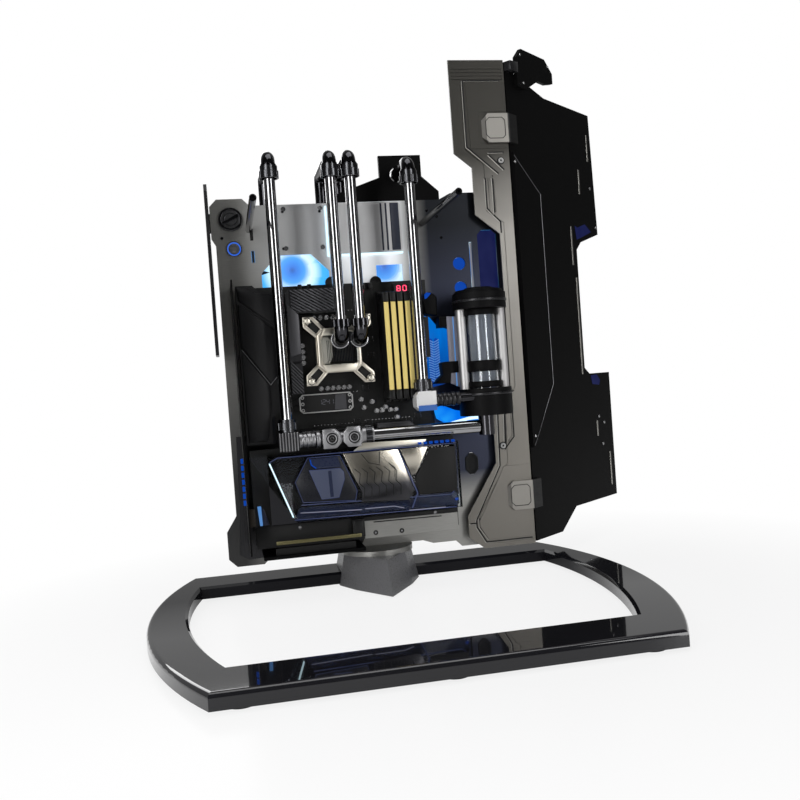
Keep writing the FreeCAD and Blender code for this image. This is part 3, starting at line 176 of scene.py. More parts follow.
def grained(name, first, second, rough, grain, strength, **sockets):
    """A finish whose colour, roughness and bump all follow one grain."""
    look = Finish(name, **sockets)
    streaks = look.noise(*grain)
    look.set(Base_Color=look.blend(streaks, first, second), Roughness=look.spread(streaks, *rough))
    return look.bump(streaks, strength)


def satin_black(name, low=0.012, high=0.03, rough=0.32):
    return grained(name, grey(low, 1.08), grey(high, 1.08), (rough - 0.06, rough + 0.08),
                   (500.0, 3.0, (1.0, 1.0, 0.05)), 0.05, Metallic=0.6)


def brushed(name, tint, rough=0.28, stretch=(1.0, 1.0, 30.0), contrast=0.7):
    return grained(name, dimmed(tint, contrast), shade(*tint), (rough - 0.05, rough + 0.1), (80.0, 5.0, stretch), 0.08,
                   Metallic=1.0)


def polished(name, tint, rough=0.04, dark=0.9, grain=0.012):
    """A plated metal with faint polishing haze."""
    look = Finish(name, Metallic=1.0)
    haze = look.noise(14.0, 4.0)
    fine = look.noise(700.0, 2.0, (1.0, 1.0, 0.08))
    look.set(Base_Color=look.blend(haze, dimmed(tint, dark), shade(*tint)),
             Roughness=look.ramp(haze + fine * 0.3, 0.4, 0.9, rough, rough + 0.06))
    return look.bump(fine, grain)


def moulded(name, tint, rough=0.5, grain_scale=1400.0, strength=0.25, shine=0.28):
    """A matt moulded plastic with spark-eroded grain."""
    look = Finish(name, Specular_IOR_Level=shine)
    grain = look.noise(grain_scale, 3.0)
    look.set(Base_Color=look.blend(look.noise(10.0, 2.0), dimmed(tint, 0.7), shade(*tint)),
             Roughness=look.spread(grain, rough - 0.08, rough + 0.1))
    return look.bump(grain, strength)


def gloss_black():
    """Black lacquer, whose mirror coat thins out towards the ring's back rail."""
    look = Finish("gloss_black", Coat_Roughness=0.02, Specular_IOR_Level=0.05)
    cloud = look.noise(9.0, 3.0)
    dust = look.ramp(look.noise(900.0, 2.0), 0.66, 0.8)
    look.set(Coat_Weight=look.ramp(look.axis("Y"), -0.1, 0.06, 1.0, 0.12),
             Base_Color=look.blend(cloud, grey(0.006, 1.3), grey(0.014, 1.2)),
             Roughness=look.spread(cloud, 0.05, 0.09) + dust * 0.12)
    return look.bump(look.noise(35.0, 2.0), 0.015)


def plate_metal():
    """Brushed gunmetal with painted light: a pale painted reflection behind the tubes, a painted glow below the panel,
    painted shade at its lower left, and painted shade beside the tower that darkens towards the top.
    """
    look = Finish("plate_metal", Metallic=0.8, Emission_Strength=1.0)
    streaks = look.noise(60.0, 5.0, (1.0, 1.0, 30.0))
    tone = streaks * 0.65 + look.noise(6.0, 2.0) * 0.35
    across, up = look.axis("X"), look.axis("Z")
    # Masks of painted light: a painted reflection behind the tubes, a painted glow below the panel, painted shade at
    # the lower left and painted shade beside the tower.
    pale = look.ramp(across, -0.21, -0.1) * look.ramp(across, 0.005, -0.02) * look.ramp(up, 0.34, 0.42)
    spill = look.ramp(across, -0.095, -0.065) * look.ramp(across, 0.012, -0.01) * look.ramp(up, 0.37, 0.4)
    dark = look.ramp(across, -0.17, -0.23) * look.ramp(up, 0.38, 0.14)
    painted_shade_by_tower = look.ramp(across, 0.0, 0.035) * look.ramp(up, 0.1, 0.135)
    # Colour of the painted shade beside the tower, darker towards the top.
    haze = look.blend(look.ramp(up, 0.46, 0.37), shade(0.01, 0.0115, 0.015), shade(0.03, 0.034, 0.055))
    metal = look.blend(tone, shade(0.21, 0.21, 0.2), shade(0.4, 0.395, 0.375))
    metal = look.blend(pale * 0.9, metal, shade(0.84, 0.85, 0.87))
    metal = look.blend(dark, metal, grey(0.05))
    look.set(Base_Color=look.blend(painted_shade_by_tower, metal, haze),
             Emission_Color=look.blend(spill, grey(0.0), shade(0.38, 0.4, 0.42)),
             Roughness=look.spread(tone, 0.3, 0.44))
    return look.bump(streaks, 0.06)


def tower_grey():
    """Satin paint on metal, with painted light and shade: darker low down, lighter higher up, and much darker towards
    its top.
    """
    look = Finish("tower_grey", Metallic=0.75)
    grain = look.noise(2200.0, 2.0)
    up = look.axis("Z") + look.noise(7.0, 3.0) * 0.1 - 0.05
    # Painted light and shade along the height: lighter higher up, much darker at the top.
    body = look.blend(look.ramp(up, 0.2, 0.38), shade(0.18, 0.17, 0.152), shade(0.29, 0.278, 0.257))
    look.set(Base_Color=look.blend(look.ramp(up, 0.46, 0.55), body, shade(0.042, 0.04, 0.035)),
             Roughness=look.spread(grain, 0.38, 0.5))
    return look.bump(grain, 0.12)


def panel_black():
    look = Finish("panel_black", Specular_IOR_Level=0.06)
    grain = look.noise(1500.0, 3.0)
    look.set(Base_Color=look.blend(look.noise(5.0, 2.0), shade(0.0015, 0.0015, 0.0016), shade(0.003, 0.003, 0.0031)),
             Roughness=look.spread(grain, 0.42, 0.6))
    return look.bump(grain, 0.18)


def circuit_black():
    """Black solder mask over copper lanes that show as faint raised lines."""
    look = Finish("circuit_black", Specular_IOR_Level=0.25)
    lanes = look.node("ShaderNodeTexBrick", {"offset": 0.5},
                      {"Vector": look.place(turn=(math.radians(90), 0, 0)), "Scale": 260.0, "Mortar Size": 0.05,
                       "Brick Width": 1.6, "Row Height": 0.32}, "Fac")
    cells = look.node("ShaderNodeTexVoronoi", None, {"Vector": look.place(), "Scale": 420.0})
    specks = look.ramp(cells, 0.0, 0.16, 1.0, 0.0)
    cloud = look.noise(25.0, 3.0)
    base = look.blend(cloud, shade(0.003, 0.0033, 0.0035), shade(0.007, 0.0075, 0.008))
    look.set(Base_Color=look.blend(specks * 0.3 + lanes * 0.1, base, shade(0.08, 0.075, 0.06)),
             Roughness=look.spread(cloud, 0.28, 0.42))
    return look.bump(lanes, 0.2, 0.0002)


def clear_acrylic(name, tint=(0.93, 0.97, 1.0), bend=1.49, coat=0.4):
    """Polished acrylic: thin body colour, mirror surface, faint handling haze."""
    look = Finish(name, Transmission_Weight=1.0, IOR=bend, Coat_Weight=coat, Coat_Roughness=0.01)
    haze = look.ramp(look.noise(18.0, 4.0), 0.45, 0.75)
    return look.set(Base_Color=look.blend(haze, shade(*tint), dimmed(tint, 0.96)), Roughness=haze * 0.02 + 0.004)


def smoked(name, tint, alpha):
    """Tinted see-through acrylic with faint flow marks."""
    look = Finish(name, Coat_Weight=0.6, Coat_Roughness=0.02, Roughness=0.08)
    flow = look.noise(22.0, 3.0, (1.0, 1.0, 0.4))
    return look.set(Base_Color=look.blend(flow, dimmed(tint, 0.6), shade(*tint)),
                    Alpha=look.spread(flow, alpha - 0.08, alpha + 0.08))


def glowing(name, tint, strength, core_tint=None):
    """A lit lens: brighter in the middle of its noise, so that the light isn't one flat colour."""
    look = Finish(name, Roughness=0.5, Specular_IOR_Level=0.05, Emission_Strength=strength)
    core_tint = core_tint or tuple(min(1.0, 0.06 + part) for part in tint)
    cloud = look.ramp(look.noise(30.0, 2.0), 0.35, 0.65)
    return look.set(Base_Color=dimmed(tint, 0.08), Emission_Color=look.blend(cloud, shade(*tint), shade(*core_tint)))


def lit_gap():
    """Light from behind the plate: bright at its top, navy below, with soft upright streaks."""
    look = Finish("gap_blue", Roughness=0.5, Specular_IOR_Level=0.05, Emission_Strength=1.0)
    streaks = look.noise(90.0, 3.0, (1.0, 1.0, 0.15))
    high = look.ramp(look.axis("Z") + streaks * 0.03, 0.255, 0.335)
    return look.set(Base_Color=shade(0.002, 0.008, 0.05),
                    Emission_Color=look.blend(high * look.spread(streaks, 0.6, 1.0),
                                              shade(0.003, 0.03, 0.22), shade(0.0, 0.17, 0.66)))


def clip_grey():
    """The clips' satin grey, with painted shade that turns them dark where they fold over the side panel."""
    look = Finish("clip_grey", Metallic=0.7)
    streaks = look.noise(80.0, 5.0, (1.0, 1.0, 3.0))
    satin = look.blend(streaks, shade(0.24, 0.23, 0.21), shade(0.27, 0.26, 0.24))
    # Painted shade on the fold over the side panel.
    look.set(Base_Color=look.blend(look.ramp(look.axis("X"), 0.1485, 0.1495), satin, grey(0.02)),
             Roughness=look.spread(streaks, 0.37, 0.5))
    return look.bump(streaks, 0.05)


def mirror_plate():
    """Polished nickel with a painted reflection, from cream at its top to near black at its foot."""
    look = Finish("mirror_plate", Metallic=1.0)
    haze = look.noise(30.0, 4.0, (1.0, 1.0, 0.3))
    # Painted reflection: cream higher up, near black lower down.
    height = look.ramp(look.axis("Z") + haze * 0.02, 0.145, 0.182)
    return look.set(Base_Color=look.blend(height, shade(0.05, 0.05, 0.055), shade(0.86, 0.8, 0.68)),
                    Roughness=look.spread(haze, 0.16, 0.3))


def milky_rotor(index, strength):
    """Milky fan plastic, lit from its hub: deep blue, then a white ring, then pale blue blades."""
    low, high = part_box(f"fan_rotor_{index}")
    look = Finish(f"milky_rotor_{index}", Roughness=0.35, Emission_Strength=strength)
    across = look.axis("X") - (low.x + high.x) / 2
    up = look.axis("Z") - (low.z + high.z) / 2
    reach = look.node("ShaderNodeMath", {"operation": "SQRT"}, {0: across * across + up * up})
    stops = [(0.0, shade(0.04, 0.12, 0.45)), (0.08, shade(0.04, 0.19, 0.7)), (0.28, shade(0.08, 0.36, 0.95)),
             (0.44, shade(0.74, 0.93, 1.0)), (0.52, shade(0.6, 0.88, 1.0)), (0.68, shade(0.06, 0.44, 0.95)),
             (1.0, shade(0.03, 0.34, 0.9))]
    blade_tip = 0.058
    look.set(Base_Color=look.blend(look.noise(40.0, 2.0), shade(0.03, 0.06, 0.12), shade(0.05, 0.09, 0.16)),
             Emission_Color=look.colours(look.ramp(reach, 0.0, blade_tip), stops))
    return look


LOOKS = {look.name: look for look in (
    gloss_black(),
    grained("foot_rubber", grey(0.012), grey(0.03), (0.7, 0.9), (1200.0, 3.0), 0.3, Specular_IOR_Level=0.3),
    plate_metal(),
    tower_grey(),
    panel_black(),
    satin_black("blade_black"),
    brushed("badge_metal", (0.16, 0.16, 0.165), 0.3, (30.0, 1.0, 1.0)),
    polished("bezel_metal", (0.55, 0.55, 0.58), 0.08),
    brushed("button_metal", (0.3, 0.3, 0.32), 0.3),
    brushed("light_silver", (0.58, 0.58, 0.585), 0.4, (1.0, 1.0, 24.0), 0.9),
    polished("screw_steel", (0.4, 0.4, 0.41), 0.2, 0.75),
    circuit_black(),
    moulded("shroud_black", (0.006, 0.006, 0.007), 0.42),
    satin_black("sink_metal", 0.02, 0.045, 0.36),
    moulded("socket_plastic", (0.005, 0.005, 0.005), 0.4),
    grained("memory_gold", shade(0.72, 0.57, 0.17), shade(0.9, 0.73, 0.27), (0.4, 0.52), (90.0, 5.0, (40.0, 1.0, 1.0)),
            0.06, Metallic=0.45),
    polished("nickel", (0.62, 0.58, 0.5), 0.3, 0.85),
    clear_acrylic("clear_acrylic"),
    clear_acrylic("card_clear", (0.9, 0.94, 1.0), 1.2, 0.0),
    moulded("column_grey", (0.19, 0.19, 0.197), 0.3, 600.0, 0.04),
    polished("black_chrome", (0.055, 0.055, 0.06), 0.1, 0.8),
    polished("collar_metal", (0.09, 0.092, 0.098), 0.2, 0.75),
    polished("tube_chrome", (0.4, 0.4, 0.41), 0.07, 0.96, 0.0),
    moulded("fitting_white", (0.92, 0.92, 0.92), 0.22, 600.0, 0.05),
    moulded("tank_metal", (0.003, 0.003, 0.0034), 0.5, shine=0.1),
    brushed("column_metal", (0.62, 0.61, 0.61), 0.5, (1.0, 1.0, 0.03), 0.9),
    satin_black("radiator_black", 0.008, 0.02, 0.42),
    moulded("fan_plastic", (0.012, 0.012, 0.014), 0.45),
    moulded("supply_case", (0.012, 0.012, 0.013), 0.5, 1800.0, 0.3),
    polished("can_silver", (0.82, 0.82, 0.83), 0.14),
    # Pale painted highlight for the outlet shroud's edge.
    brushed("painted_edge_grey", (0.3, 0.3, 0.31), 0.3),
    satin_black("sink_flat", 0.05, 0.08, 0.4),
    polished("pale_nickel", (0.74, 0.7, 0.6), 0.32),
    moulded("line_dark", (0.007, 0.007, 0.007), 0.5),
    satin_black("satin_strip", 0.02, 0.035, 0.3),
    brushed("dull_gold", (0.2, 0.18, 0.09), 0.4),
    polished("fitting_grey", (0.36, 0.36, 0.37), 0.34),
    polished("black_mirror", (0.03, 0.03, 0.033), 0.05),
    moulded("fold_grey", (0.03, 0.035, 0.055), 0.4),
    clip_grey(),
    moulded("rim_grey", (0.5, 0.5, 0.49), 0.4, 900.0, 0.1),
    satin_black("fin_grey", 0.1, 0.15, 0.4),
    moulded("slate_blue", (0.075, 0.09, 0.15), 0.35, 900.0, 0.04),
    moulded("band_blue", (0.013, 0.02, 0.055), 0.3, 900.0, 0.04),
    moulded("brown_dark", (0.02, 0.014, 0.008), 0.5),
    moulded("shield_grey", (0.3, 0.3, 0.36), 0.3, 900.0, 0.04),
    # Pale painted highlight for lit edges of the tower's cover and side panel.
    brushed("pale_painted_highlight", (0.42, 0.41, 0.38), 0.4),
    moulded("smoke_dark", (0.004, 0.005, 0.01), 0.3, 900.0, 0.04),
    smoked("tank_liquid", (0.55, 0.57, 0.64), 0.62),
    mirror_plate(),
    glowing("led_red", (1.0, 0.02, 0.1), 2.5),
    glowing("led_blue", (0.008, 0.13, 0.8), 0.85),
    glowing("led_white", (0.62, 0.86, 1.0), 1.4),
    glowing("edge_blue", (0.08, 0.11, 0.28), 0.5),
    lit_gap(),
    glowing("cable_blue", (0.12, 0.36, 0.85), 0.6),
    glowing("pump_blue", (0.0, 0.16, 0.85), 1.0, (0.02, 0.42, 1.0)),
    # Painted blue light on the white fitting's lower part.
    glowing("fitting_painted_blue_light", (0.04, 0.13, 0.42), 0.8),
    # Grey painted highlight along the side panel's rib.
    brushed("grey_rib_highlight", (0.16, 0.16, 0.17), 0.3),
    glowing("vent_blue", (0.002, 0.055, 0.4), 0.85, (0.004, 0.065, 0.44)),
    glowing("slit_pale", (0.4, 0.4, 0.45), 0.45),
    glowing("glint_pale", (0.34, 0.35, 0.48), 0.6),
    glowing("dim_figures", (0.2, 0.2, 0.23), 0.3),
    # Painted navy glow for the side window's tinted sheet and the notch corners.
    glowing("painted_navy_glow", (0.006, 0.009, 0.06), 0.9, (0.012, 0.016, 0.08)),
    milky_rotor(1, 1.1),
    milky_rotor(2, 1.0),
    milky_rotor(3, 0.8),
)}
# These slots wear a finish of another name, and these nodes another finish than their slot's.
LOOKS.update(light_acrylic=LOOKS["light_silver"], board_green=LOOKS["circuit_black"])
NODE_LOOKS = {"gpu_block": "black_mirror", "tower_clips": "clip_grey", "pedestal": "column_grey",
              "gpu_cover": "card_clear", "standoff_rods": "black_chrome", "gpu_terminal": "fitting_grey",
              **{f"memory_module_{i}": "line_dark" for i in (1, 2, 3, 4)},
              **{f"fan_rotor_{i}": f"milky_rotor_{i}" for i in (1, 2, 3)}}


def dress_nodes():
    """Gives every CAD node its own finish, or the finish of its slot."""
    for row in frame["record"]["subparts"]:
        materials = NODES[row["node"]].data.materials
        materials.clear()
        materials.append(LOOKS[NODE_LOOKS.get(row["node"], row["material_slot"])].material)


# Modelling

NORMALS = {"+X": (1, 0, 0), "-X": (-1, 0, 0), "+Y": (0, 1, 0), "-Y": (0, -1, 0), "+Z": (0, 0, 1), "-Z": (0, 0, -1)}
TURNS = {"X": (0.0, math.pi / 2, 0.0), "Y": (math.pi / 2, 0.0, 0.0), "Z": (0.0, 0.0, 0.0)}
# Depths of the cover's face and of the plate's front, and the places of drawn outlines.
COVER = 121.5
BEHIND = 133.4
PLATE = Matrix.Translation(core(0, 0, 0))
PANEL = Matrix.Translation(core(247, COVER, 0)) @ Matrix.Rotation(math.radians(40), 4, "Z")
QUARTERS = (90, 180, 270)


def choose(*pieces):
    """Selects these pieces alone, the first one active."""
    bpy.ops.object.select_all(action="DESELECT")
    for piece in pieces:
        piece.select_set(True)
    bpy.context.view_layer.objects.active = pieces[0]


def block(low, high):
    """A cuboid between two corners, measured from the core."""
    bpy.ops.object.select_all(action="DESELECT")
    bpy.ops.mesh.primitive_cube_add(size=1.0)
    piece = bpy.context.object
    piece.scale = (Vector(high) - Vector(low)) * MM
    piece.location = core(*((Vector(low) + Vector(high)) / 2))
    bpy.ops.object.transform_apply()
    return piece


def drum(centre, radius, length, axis="Y", sides=32):
    """A cylinder about its middle, measured from the core."""
    bpy.ops.object.select_all(action="DESELECT")
    bpy.ops.mesh.primitive_cylinder_add(vertices=sides, radius=radius * MM, depth=length * MM, location=core(*centre),
                                        rotation=TURNS[axis])
    bpy.ops.object.transform_apply()
    return bpy.context.object


def drawn(points, front, back, where=PLATE):
    """A sheet whose outline is drawn point by point, then pulled from its front to its back."""
    bpy.ops.object.select_all(action="DESELECT")
    bpy.ops.mesh.primitive_plane_add(size=MM)
    piece = bpy.context.object
    bpy.ops.object.mode_set(mode="EDIT")
    bpy.ops.mesh.select_mode(type="VERT")
    bpy.ops.mesh.merge(type="CENTER")
    here = Vector((points[0][0], front, points[0][1]))
    bpy.ops.transform.translate(value=here * MM)
    for x, z in points[1:]:
        there = Vector((x, front, z))
        bpy.ops.mesh.extrude_vertices_move(TRANSFORM_OT_translate={"value": (there - here) * MM})
        here = there
    bpy.ops.mesh.select_all(action="SELECT")
    bpy.ops.mesh.edge_face_add()
    bpy.ops.mesh.extrude_region_move(TRANSFORM_OT_translate={"value": (0.0, (back - front) * MM, 0.0)})
    bpy.ops.mesh.select_all(action="SELECT")
    bpy.ops.mesh.normals_make_consistent(inside=False)
    bpy.ops.object.mode_set(mode="OBJECT")
    piece.matrix_world = where
    bpy.ops.object.transform_apply()
    return piece


def stroke(points, width):
    """The outline of a line of this width: its two sides, mitred at each bend."""
    sides = ([], [])
    for i, point in enumerate(points):
        here = Vector(point)
        runs = [(Vector(b) - Vector(a)).normalized() for a, b in zip(points, points[1:])][max(i - 1, 0):i + 1]
        normals = [Vector((-run.y, run.x)) for run in runs]
        lean = sum(normals, Vector((0.0, 0.0))).normalized()
        reach = width / 2 / lean.dot(normals[0])
        sides[0].append(tuple(here + lean * reach))
        sides[1].append(tuple(here - lean * reach))
    return sides[0] + sides[1][::-1]


def pick(piece, test, kind="FACE"):
    """Opens a mesh with only the faces, or the edges, that pass a test selected."""
    choose(piece)
    bpy.ops.object.mode_set(mode="EDIT")
    bpy.ops.mesh.select_mode(type=kind)
    bpy.ops.mesh.select_all(action="DESELECT")
    bpy.ops.object.mode_set(mode="OBJECT")
    for item in piece.data.polygons if kind == "FACE" else piece.data.edges:
        item.select = test(item)
    bpy.ops.object.mode_set(mode="EDIT")


def facing(*sides):
    """A test for faces that look along any of these axes."""
    return lambda face: any(face.normal.dot(NORMALS[side]) > 0.9 for side in sides)


def step(piece, side, inset, height):
    """Insets the faces on one side and raises them, or sinks them where the height is negative."""
    pick(piece, facing(side))
    bpy.ops.mesh.inset(thickness=inset * MM)
    bpy.ops.mesh.extrude_region_move(TRANSFORM_OT_translate={"value": Vector(NORMALS[side]) * height * MM})
    bpy.ops.object.mode_set(mode="OBJECT")
    return piece


def hollow(piece, wall, axis="Y"):
    """Opens a piece through two opposite faces, which leaves a frame with walls of this width."""
    pick(piece, facing("+" + axis, "-" + axis))
    bpy.ops.mesh.inset(thickness=wall * MM, use_individual=True)
    bpy.ops.mesh.bridge_edge_loops()
    bpy.ops.object.mode_set(mode="OBJECT")
    return piece


def washer(centre, outer, inner, length, axis="Y", sides=32):
    return hollow(drum(centre, outer, length, axis, sides), outer - inner, axis)


def ribbed(centre, radius, length, axis="Z"):
    """A round collar with raised grip ribs, cut from a drum."""
    wall, rise, sides = 1.8, 0.5, 40
    piece = washer(centre, radius, radius - wall, length, axis, sides)
    spot = core(*centre)
    across = [i for i in range(3) if NORMALS["+" + axis][i] == 0]

    def rib(face):
        out = [face.center[i] - spot[i] for i in across]
        outward = math.hypot(*out) > (radius - wall / 2) * MM
        return outward and abs(face.normal.dot(NORMALS["+" + axis])) < 0.1 and round(
            (math.atan2(out[1], out[0]) + math.pi) * sides / math.tau - 0.5) % 2 == 0

    pick(piece, rib)
    bpy.ops.mesh.extrude_faces_move(TRANSFORM_OT_shrink_fatten={"value": rise * MM})
    bpy.ops.object.mode_set(mode="OBJECT")
    return piece


def trimmed(piece, left, right, low, high):
    """Cuts a piece off at a rectangle's sides, seen from the front, and closes the cuts."""
    for point, normal in (((left, 0, 0), "-X"), ((right, 0, 0), "+X"), ((0, 0, low), "-Z"), ((0, 0, high), "+Z")):
        pick(piece, lambda face: True)
        bpy.ops.mesh.bisect(plane_co=core(*point), plane_no=NORMALS[normal], use_fill=True, clear_outer=True)
        bpy.ops.object.mode_set(mode="OBJECT")
    return piece


def soften(piece, width, segments=2):
    """Rounds the sharp edges."""
    choose(piece)
    bevel = piece.modifiers.new("edges", "BEVEL")
    bevel.width, bevel.segments = width * MM, segments
    bevel.limit_method, bevel.angle_limit = "ANGLE", math.radians(40)
    bpy.ops.object.modifier_apply(modifier=bevel.name)
    return piece


def sheet(points, front, back, edge, segments=2, where=PLATE):
    """A drawn sheet with rounded edges."""
    return soften(drawn(points, front, back, where), edge, segments)


def line(points, width, front, back, edge, where=PLATE):
    """A raised line along a run of points, with rounded edges."""
    return sheet(stroke(points, width), front, back, edge, 1, where)


def repeat(piece, count, pitch):
    """A straight row of the piece."""
    choose(piece)
    row = piece.modifiers.new("row", "ARRAY")
    row.count, row.use_relative_offset, row.use_constant_offset = count, False, True
    row.constant_offset_displace = Vector(pitch) * MM
    bpy.ops.object.modifier_apply(modifier=row.name)
    return piece


def turn(piece, degrees, centre):
    """Turns a piece, seen from the front, about a point that is measured from the core."""
    piece.matrix_world = (Matrix.Translation(core(*centre)) @ Matrix.Rotation(math.radians(degrees), 4, "Y")
                          @ Matrix.Translation(-core(*centre)))
    choose(piece)
    bpy.ops.object.transform_apply()
    return piece


def duplicate(piece):
    choose(piece)
    bpy.ops.object.duplicate()
    return bpy.context.object


def turned(piece, angles, centre=(0, 0, 0)):
    """Copies a piece about a point by each angle and joins the copies to it."""
    return joined(piece, *[turn(duplicate(piece), degrees, centre) for degrees in angles])


def copies(piece, offsets):
    """Copies a piece by each offset and joins the copies to it."""
    made = [piece]
    for offset in offsets:
        made.append(duplicate(piece))
        bpy.ops.transform.translate(value=Vector(offset) * MM)
        bpy.ops.object.transform_apply()
    return joined(*made)


def strewn(piece, spots):
    """Copies a piece from the first spot to all the others."""
    (x, z), *others = spots
    return copies(piece, [(a - x, 0, b - z) for a, b in others])


def joined(*pieces):
    choose(*pieces)
    if len(pieces) > 1:
        bpy.ops.object.join()
    return pieces[0]


def keep(piece, name, slot, look=None, body=FRAME):
    """Names a finished piece, gives it a finish, or its slot's own, and lets it ride on its body."""
    choose(piece)
    bpy.ops.object.mode_set(mode="EDIT")
    bpy.ops.mesh.select_all(action="SELECT")
    bpy.ops.mesh.remove_doubles(threshold=0.000001)
    bpy.ops.mesh.normals_make_consistent(inside=False)
    bpy.ops.object.mode_set(mode="OBJECT")
    bpy.ops.object.shade_smooth_by_angle(angle=math.radians(35))
    piece.name = piece.data.name = name
    piece.data.materials.clear()
    piece.data.materials.append(LOOKS[look or slot].material)
    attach(piece, body)


# Board

BOARD = 125.4
CAN_SPOTS = [(-26, 43), (-18, 43), (-10, 43), (-2, 43), (-43, 9), (-43, 1), (-43, -6), (-43, -13), (-23, -47),
             (-15, -47), (-8, -47), (-1, -47), (6, -47), (13, -47), (27, -64), (30, -75), (41, -68), (46, -80),
             (53, -80), (58, -76), (64, -80), (71, -80), (72, -90), (104, 63), (104, 50), (104, 41), (105, 32)]
CHIP_SPOTS = [(-40, 30), (36, 44), (44, 30), (44, 12), (44, -8), (44, -26), (34, -50), (-58, -62), (-57, -70),
              (-64, -92), (20, -92), (36, -95), (88, -96), (100, -76), (100, -90), (112, -60), (112, -74), (98, 10),
              (98, -20)]
MEMORY_PITCH = 9


def board_cans():
    """Solid capacitors: a can with a rolled rim on a wider foot."""
    x, z = CAN_SPOTS[0]
    can = step(drum((x, BOARD - 4, z), 2.8, 8, sides=16), "-Y", 0.5, -0.4)
    foot = drum((x, BOARD - 0.6, z), 3.2, 1.2, sides=16)
    keep(strewn(soften(joined(can, foot), 0.3, 1), CAN_SPOTS), "board_cans", "screw_steel", "can_silver")


def board_chips():
    """Chips with a raised middle and a row of legs at each side."""
    x, z = CHIP_SPOTS[0]
    chip = soften(step(block((x - 3.5, BOARD - 2.2, z - 3.5), (x + 3.5, BOARD, z + 3.5)), "-Y", 0.6, 0.3), 0.3, 1)
    legs = repeat(soften(block((x - 4.6, BOARD - 0.8, z - 3), (x + 4.6, BOARD, z - 2.4)), 0.2, 1), 5, (0, 0, 1.35))
    keep(strewn(chip, CHIP_SPOTS), "board_chips", "socket_plastic")
    keep(strewn(legs, CHIP_SPOTS), "board_chip_legs", "screw_steel")


def board_crumbs():
    """Rows of the smallest parts, and the headers at the board's top edge."""
    row = repeat(soften(block((-36, BOARD - 1.2, -54), (-34, BOARD, -53)), 0.2, 1), 14, (4.4, 0, 0))
    copies(row, [(0, 0, -40), (8, 0, -46), (14, 0, 104), (66, 0, -38), (72, 0, -52), (60, 0, -62)])
    keep(row, "board_crumbs", "screw_steel", "can_silver")
    crest = soften(block((28, BOARD - 7, 76), (33, BOARD, 84)), 0.8)
    copies(crest, [(9, 0, 0), (18, 0, 0), (-60, 0, 2), (-72, 0, 2)])
    keep(crest, "board_headers", "socket_plastic")


def outlet_shroud():
    """Facets over the outlet shroud: an upper cheek, a diagonal middle and a lower face, with a pale line of painted
    highlight along the edge between the middle and lower faces.
    """
    face = 89.4
    upper = sheet([(-121, 82), (-108, 82), (-98, 74), (-77, 72), (-77, 34), (-119, 66)], face - 2.5, face, 0.9)
    middle = sheet([(-120, 62), (-78, 29), (-78, -26), (-87, -36), (-120, 10)], face - 3.5, face, 1.1)
    lower = sheet([(-120, 2), (-89, -40), (-89, -60), (-96, -106), (-119, -106)], face - 1.8, face, 0.9)
    keep(joined(upper, middle, lower), "shroud_facets", "shroud_black")
    # A pale painted highlight along the edge between the middle and lower facets.
    seam = line([(-120, 7), (-88, -38), (-80, -29)], 1.0, face - 2.4, face, 0.25)
    keep(seam, "shroud_edge_highlight", "blade_black", "painted_edge_grey")


def board_heatsinks():
    """Diagonal fins over both board heatsinks, and the flat cheek between them."""
    back = 97.6
    fin = turn(soften(block((-112, back - 3, 62.2), (-48, back, 63.9)), 0.4, 1), 31, (-80, 97, 63))
    fins = trimmed(repeat(fin, 17, (6.5, 0, 0)), -56, 5, 50, 77)
    side = turn(soften(block((-70, back - 2.6, -20), (-40, back, -18.4)), 0.4, 1), 48, (-54, 97, -19))
    sides = trimmed(repeat(side, 9, (0, 0, -4.6)), -61.5, -47.5, -51, -8)
    keep(joined(fins, sides), "heatsink_fins", "sink_metal", "fin_grey")
    cheek = sheet([(-61.5, 60), (-47.5, 46), (-47.5, -2), (-61.5, -6)], back - 3.2, back, 0.8)
    keep(cheek, "heatsink_cheek", "sink_metal", "sink_flat")


def memory_caps():
    """Black end caps, a pressed face and two latches for each memory stick."""
    left = span(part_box("memory_module_1"))[0].x
    row = [(MEMORY_PITCH * i, 0, 0) for i in (1, 2, 3)]
    cap = soften(block((left - 0.4, 78.6, 55), (left + 7, 90, 67)), 1.0)
    foot = soften(block((left - 0.4, 78.6, -67), (left + 7, 90, -55)), 1.0)
    keep(copies(joined(cap, foot), row), "memory_caps", "socket_plastic")
    face = soften(step(block((left + 0.3, 78.9, -54.6), (left + 6.3, 80, 54.6)), "-Y", 0.7, 0.3), 0.25, 1)
    keep(copies(face, row), "memory_faces", "memory_gold")
    latches = copies(soften(block((left - 0.4, 104, 66.6), (left + 7, 116, 69.6)), 0.8), row)
    keep(copies(latches, [(0, 0, -136.2)]), "memory_latches", "socket_plastic")


# The bars of a seven-bar figure, by their usual letters: place across, place up, and whether the bar lies level.
BARS = {"a": (0, 3, True), "b": (1.9, 1.5, False), "c": (1.9, -1.5, False), "d": (0, -3, True),
        "e": (-1.9, -1.5, False), "f": (-1.9, 1.5, False), "g": (0, 0, True)}
FIGURES = {"0": "abcdef", "1": "bc", "2": "abged", "4": "fgbc", "8": "abcdefg"}


def digits(text, x, z, front, pitch, size=1.0):
    """A row of seven-bar figures, from the first one's centre."""
    bars = []
    for i, figure in enumerate(text):
        for across, up, level in (BARS[bar] for bar in FIGURES[figure]):
            half = (1.5, 0.42) if level else (0.42, 1.15)
            left, low = x + pitch * i + (across - half[0]) * size, z + (up - half[1]) * size
            bars.append(block((left, front - 0.3, low),
                              (left + 2 * half[0] * size, front + 0.4, low + 2 * half[1] * size)))
    return soften(joined(*bars), 0.15, 1)


def code_display():
    """The board's two-figure display above the memory."""
    case = soften(step(block((79, BOARD - 5, 69), (100, BOARD, 81)), "-Y", 1.0, -0.6), 0.6)
    keep(case, "code_display_case", "socket_plastic")
    keep(digits("80", 85.5, 75, BOARD - 4.6, 8, 1.15), "code_display_figures", "light_acrylic", "led_red")


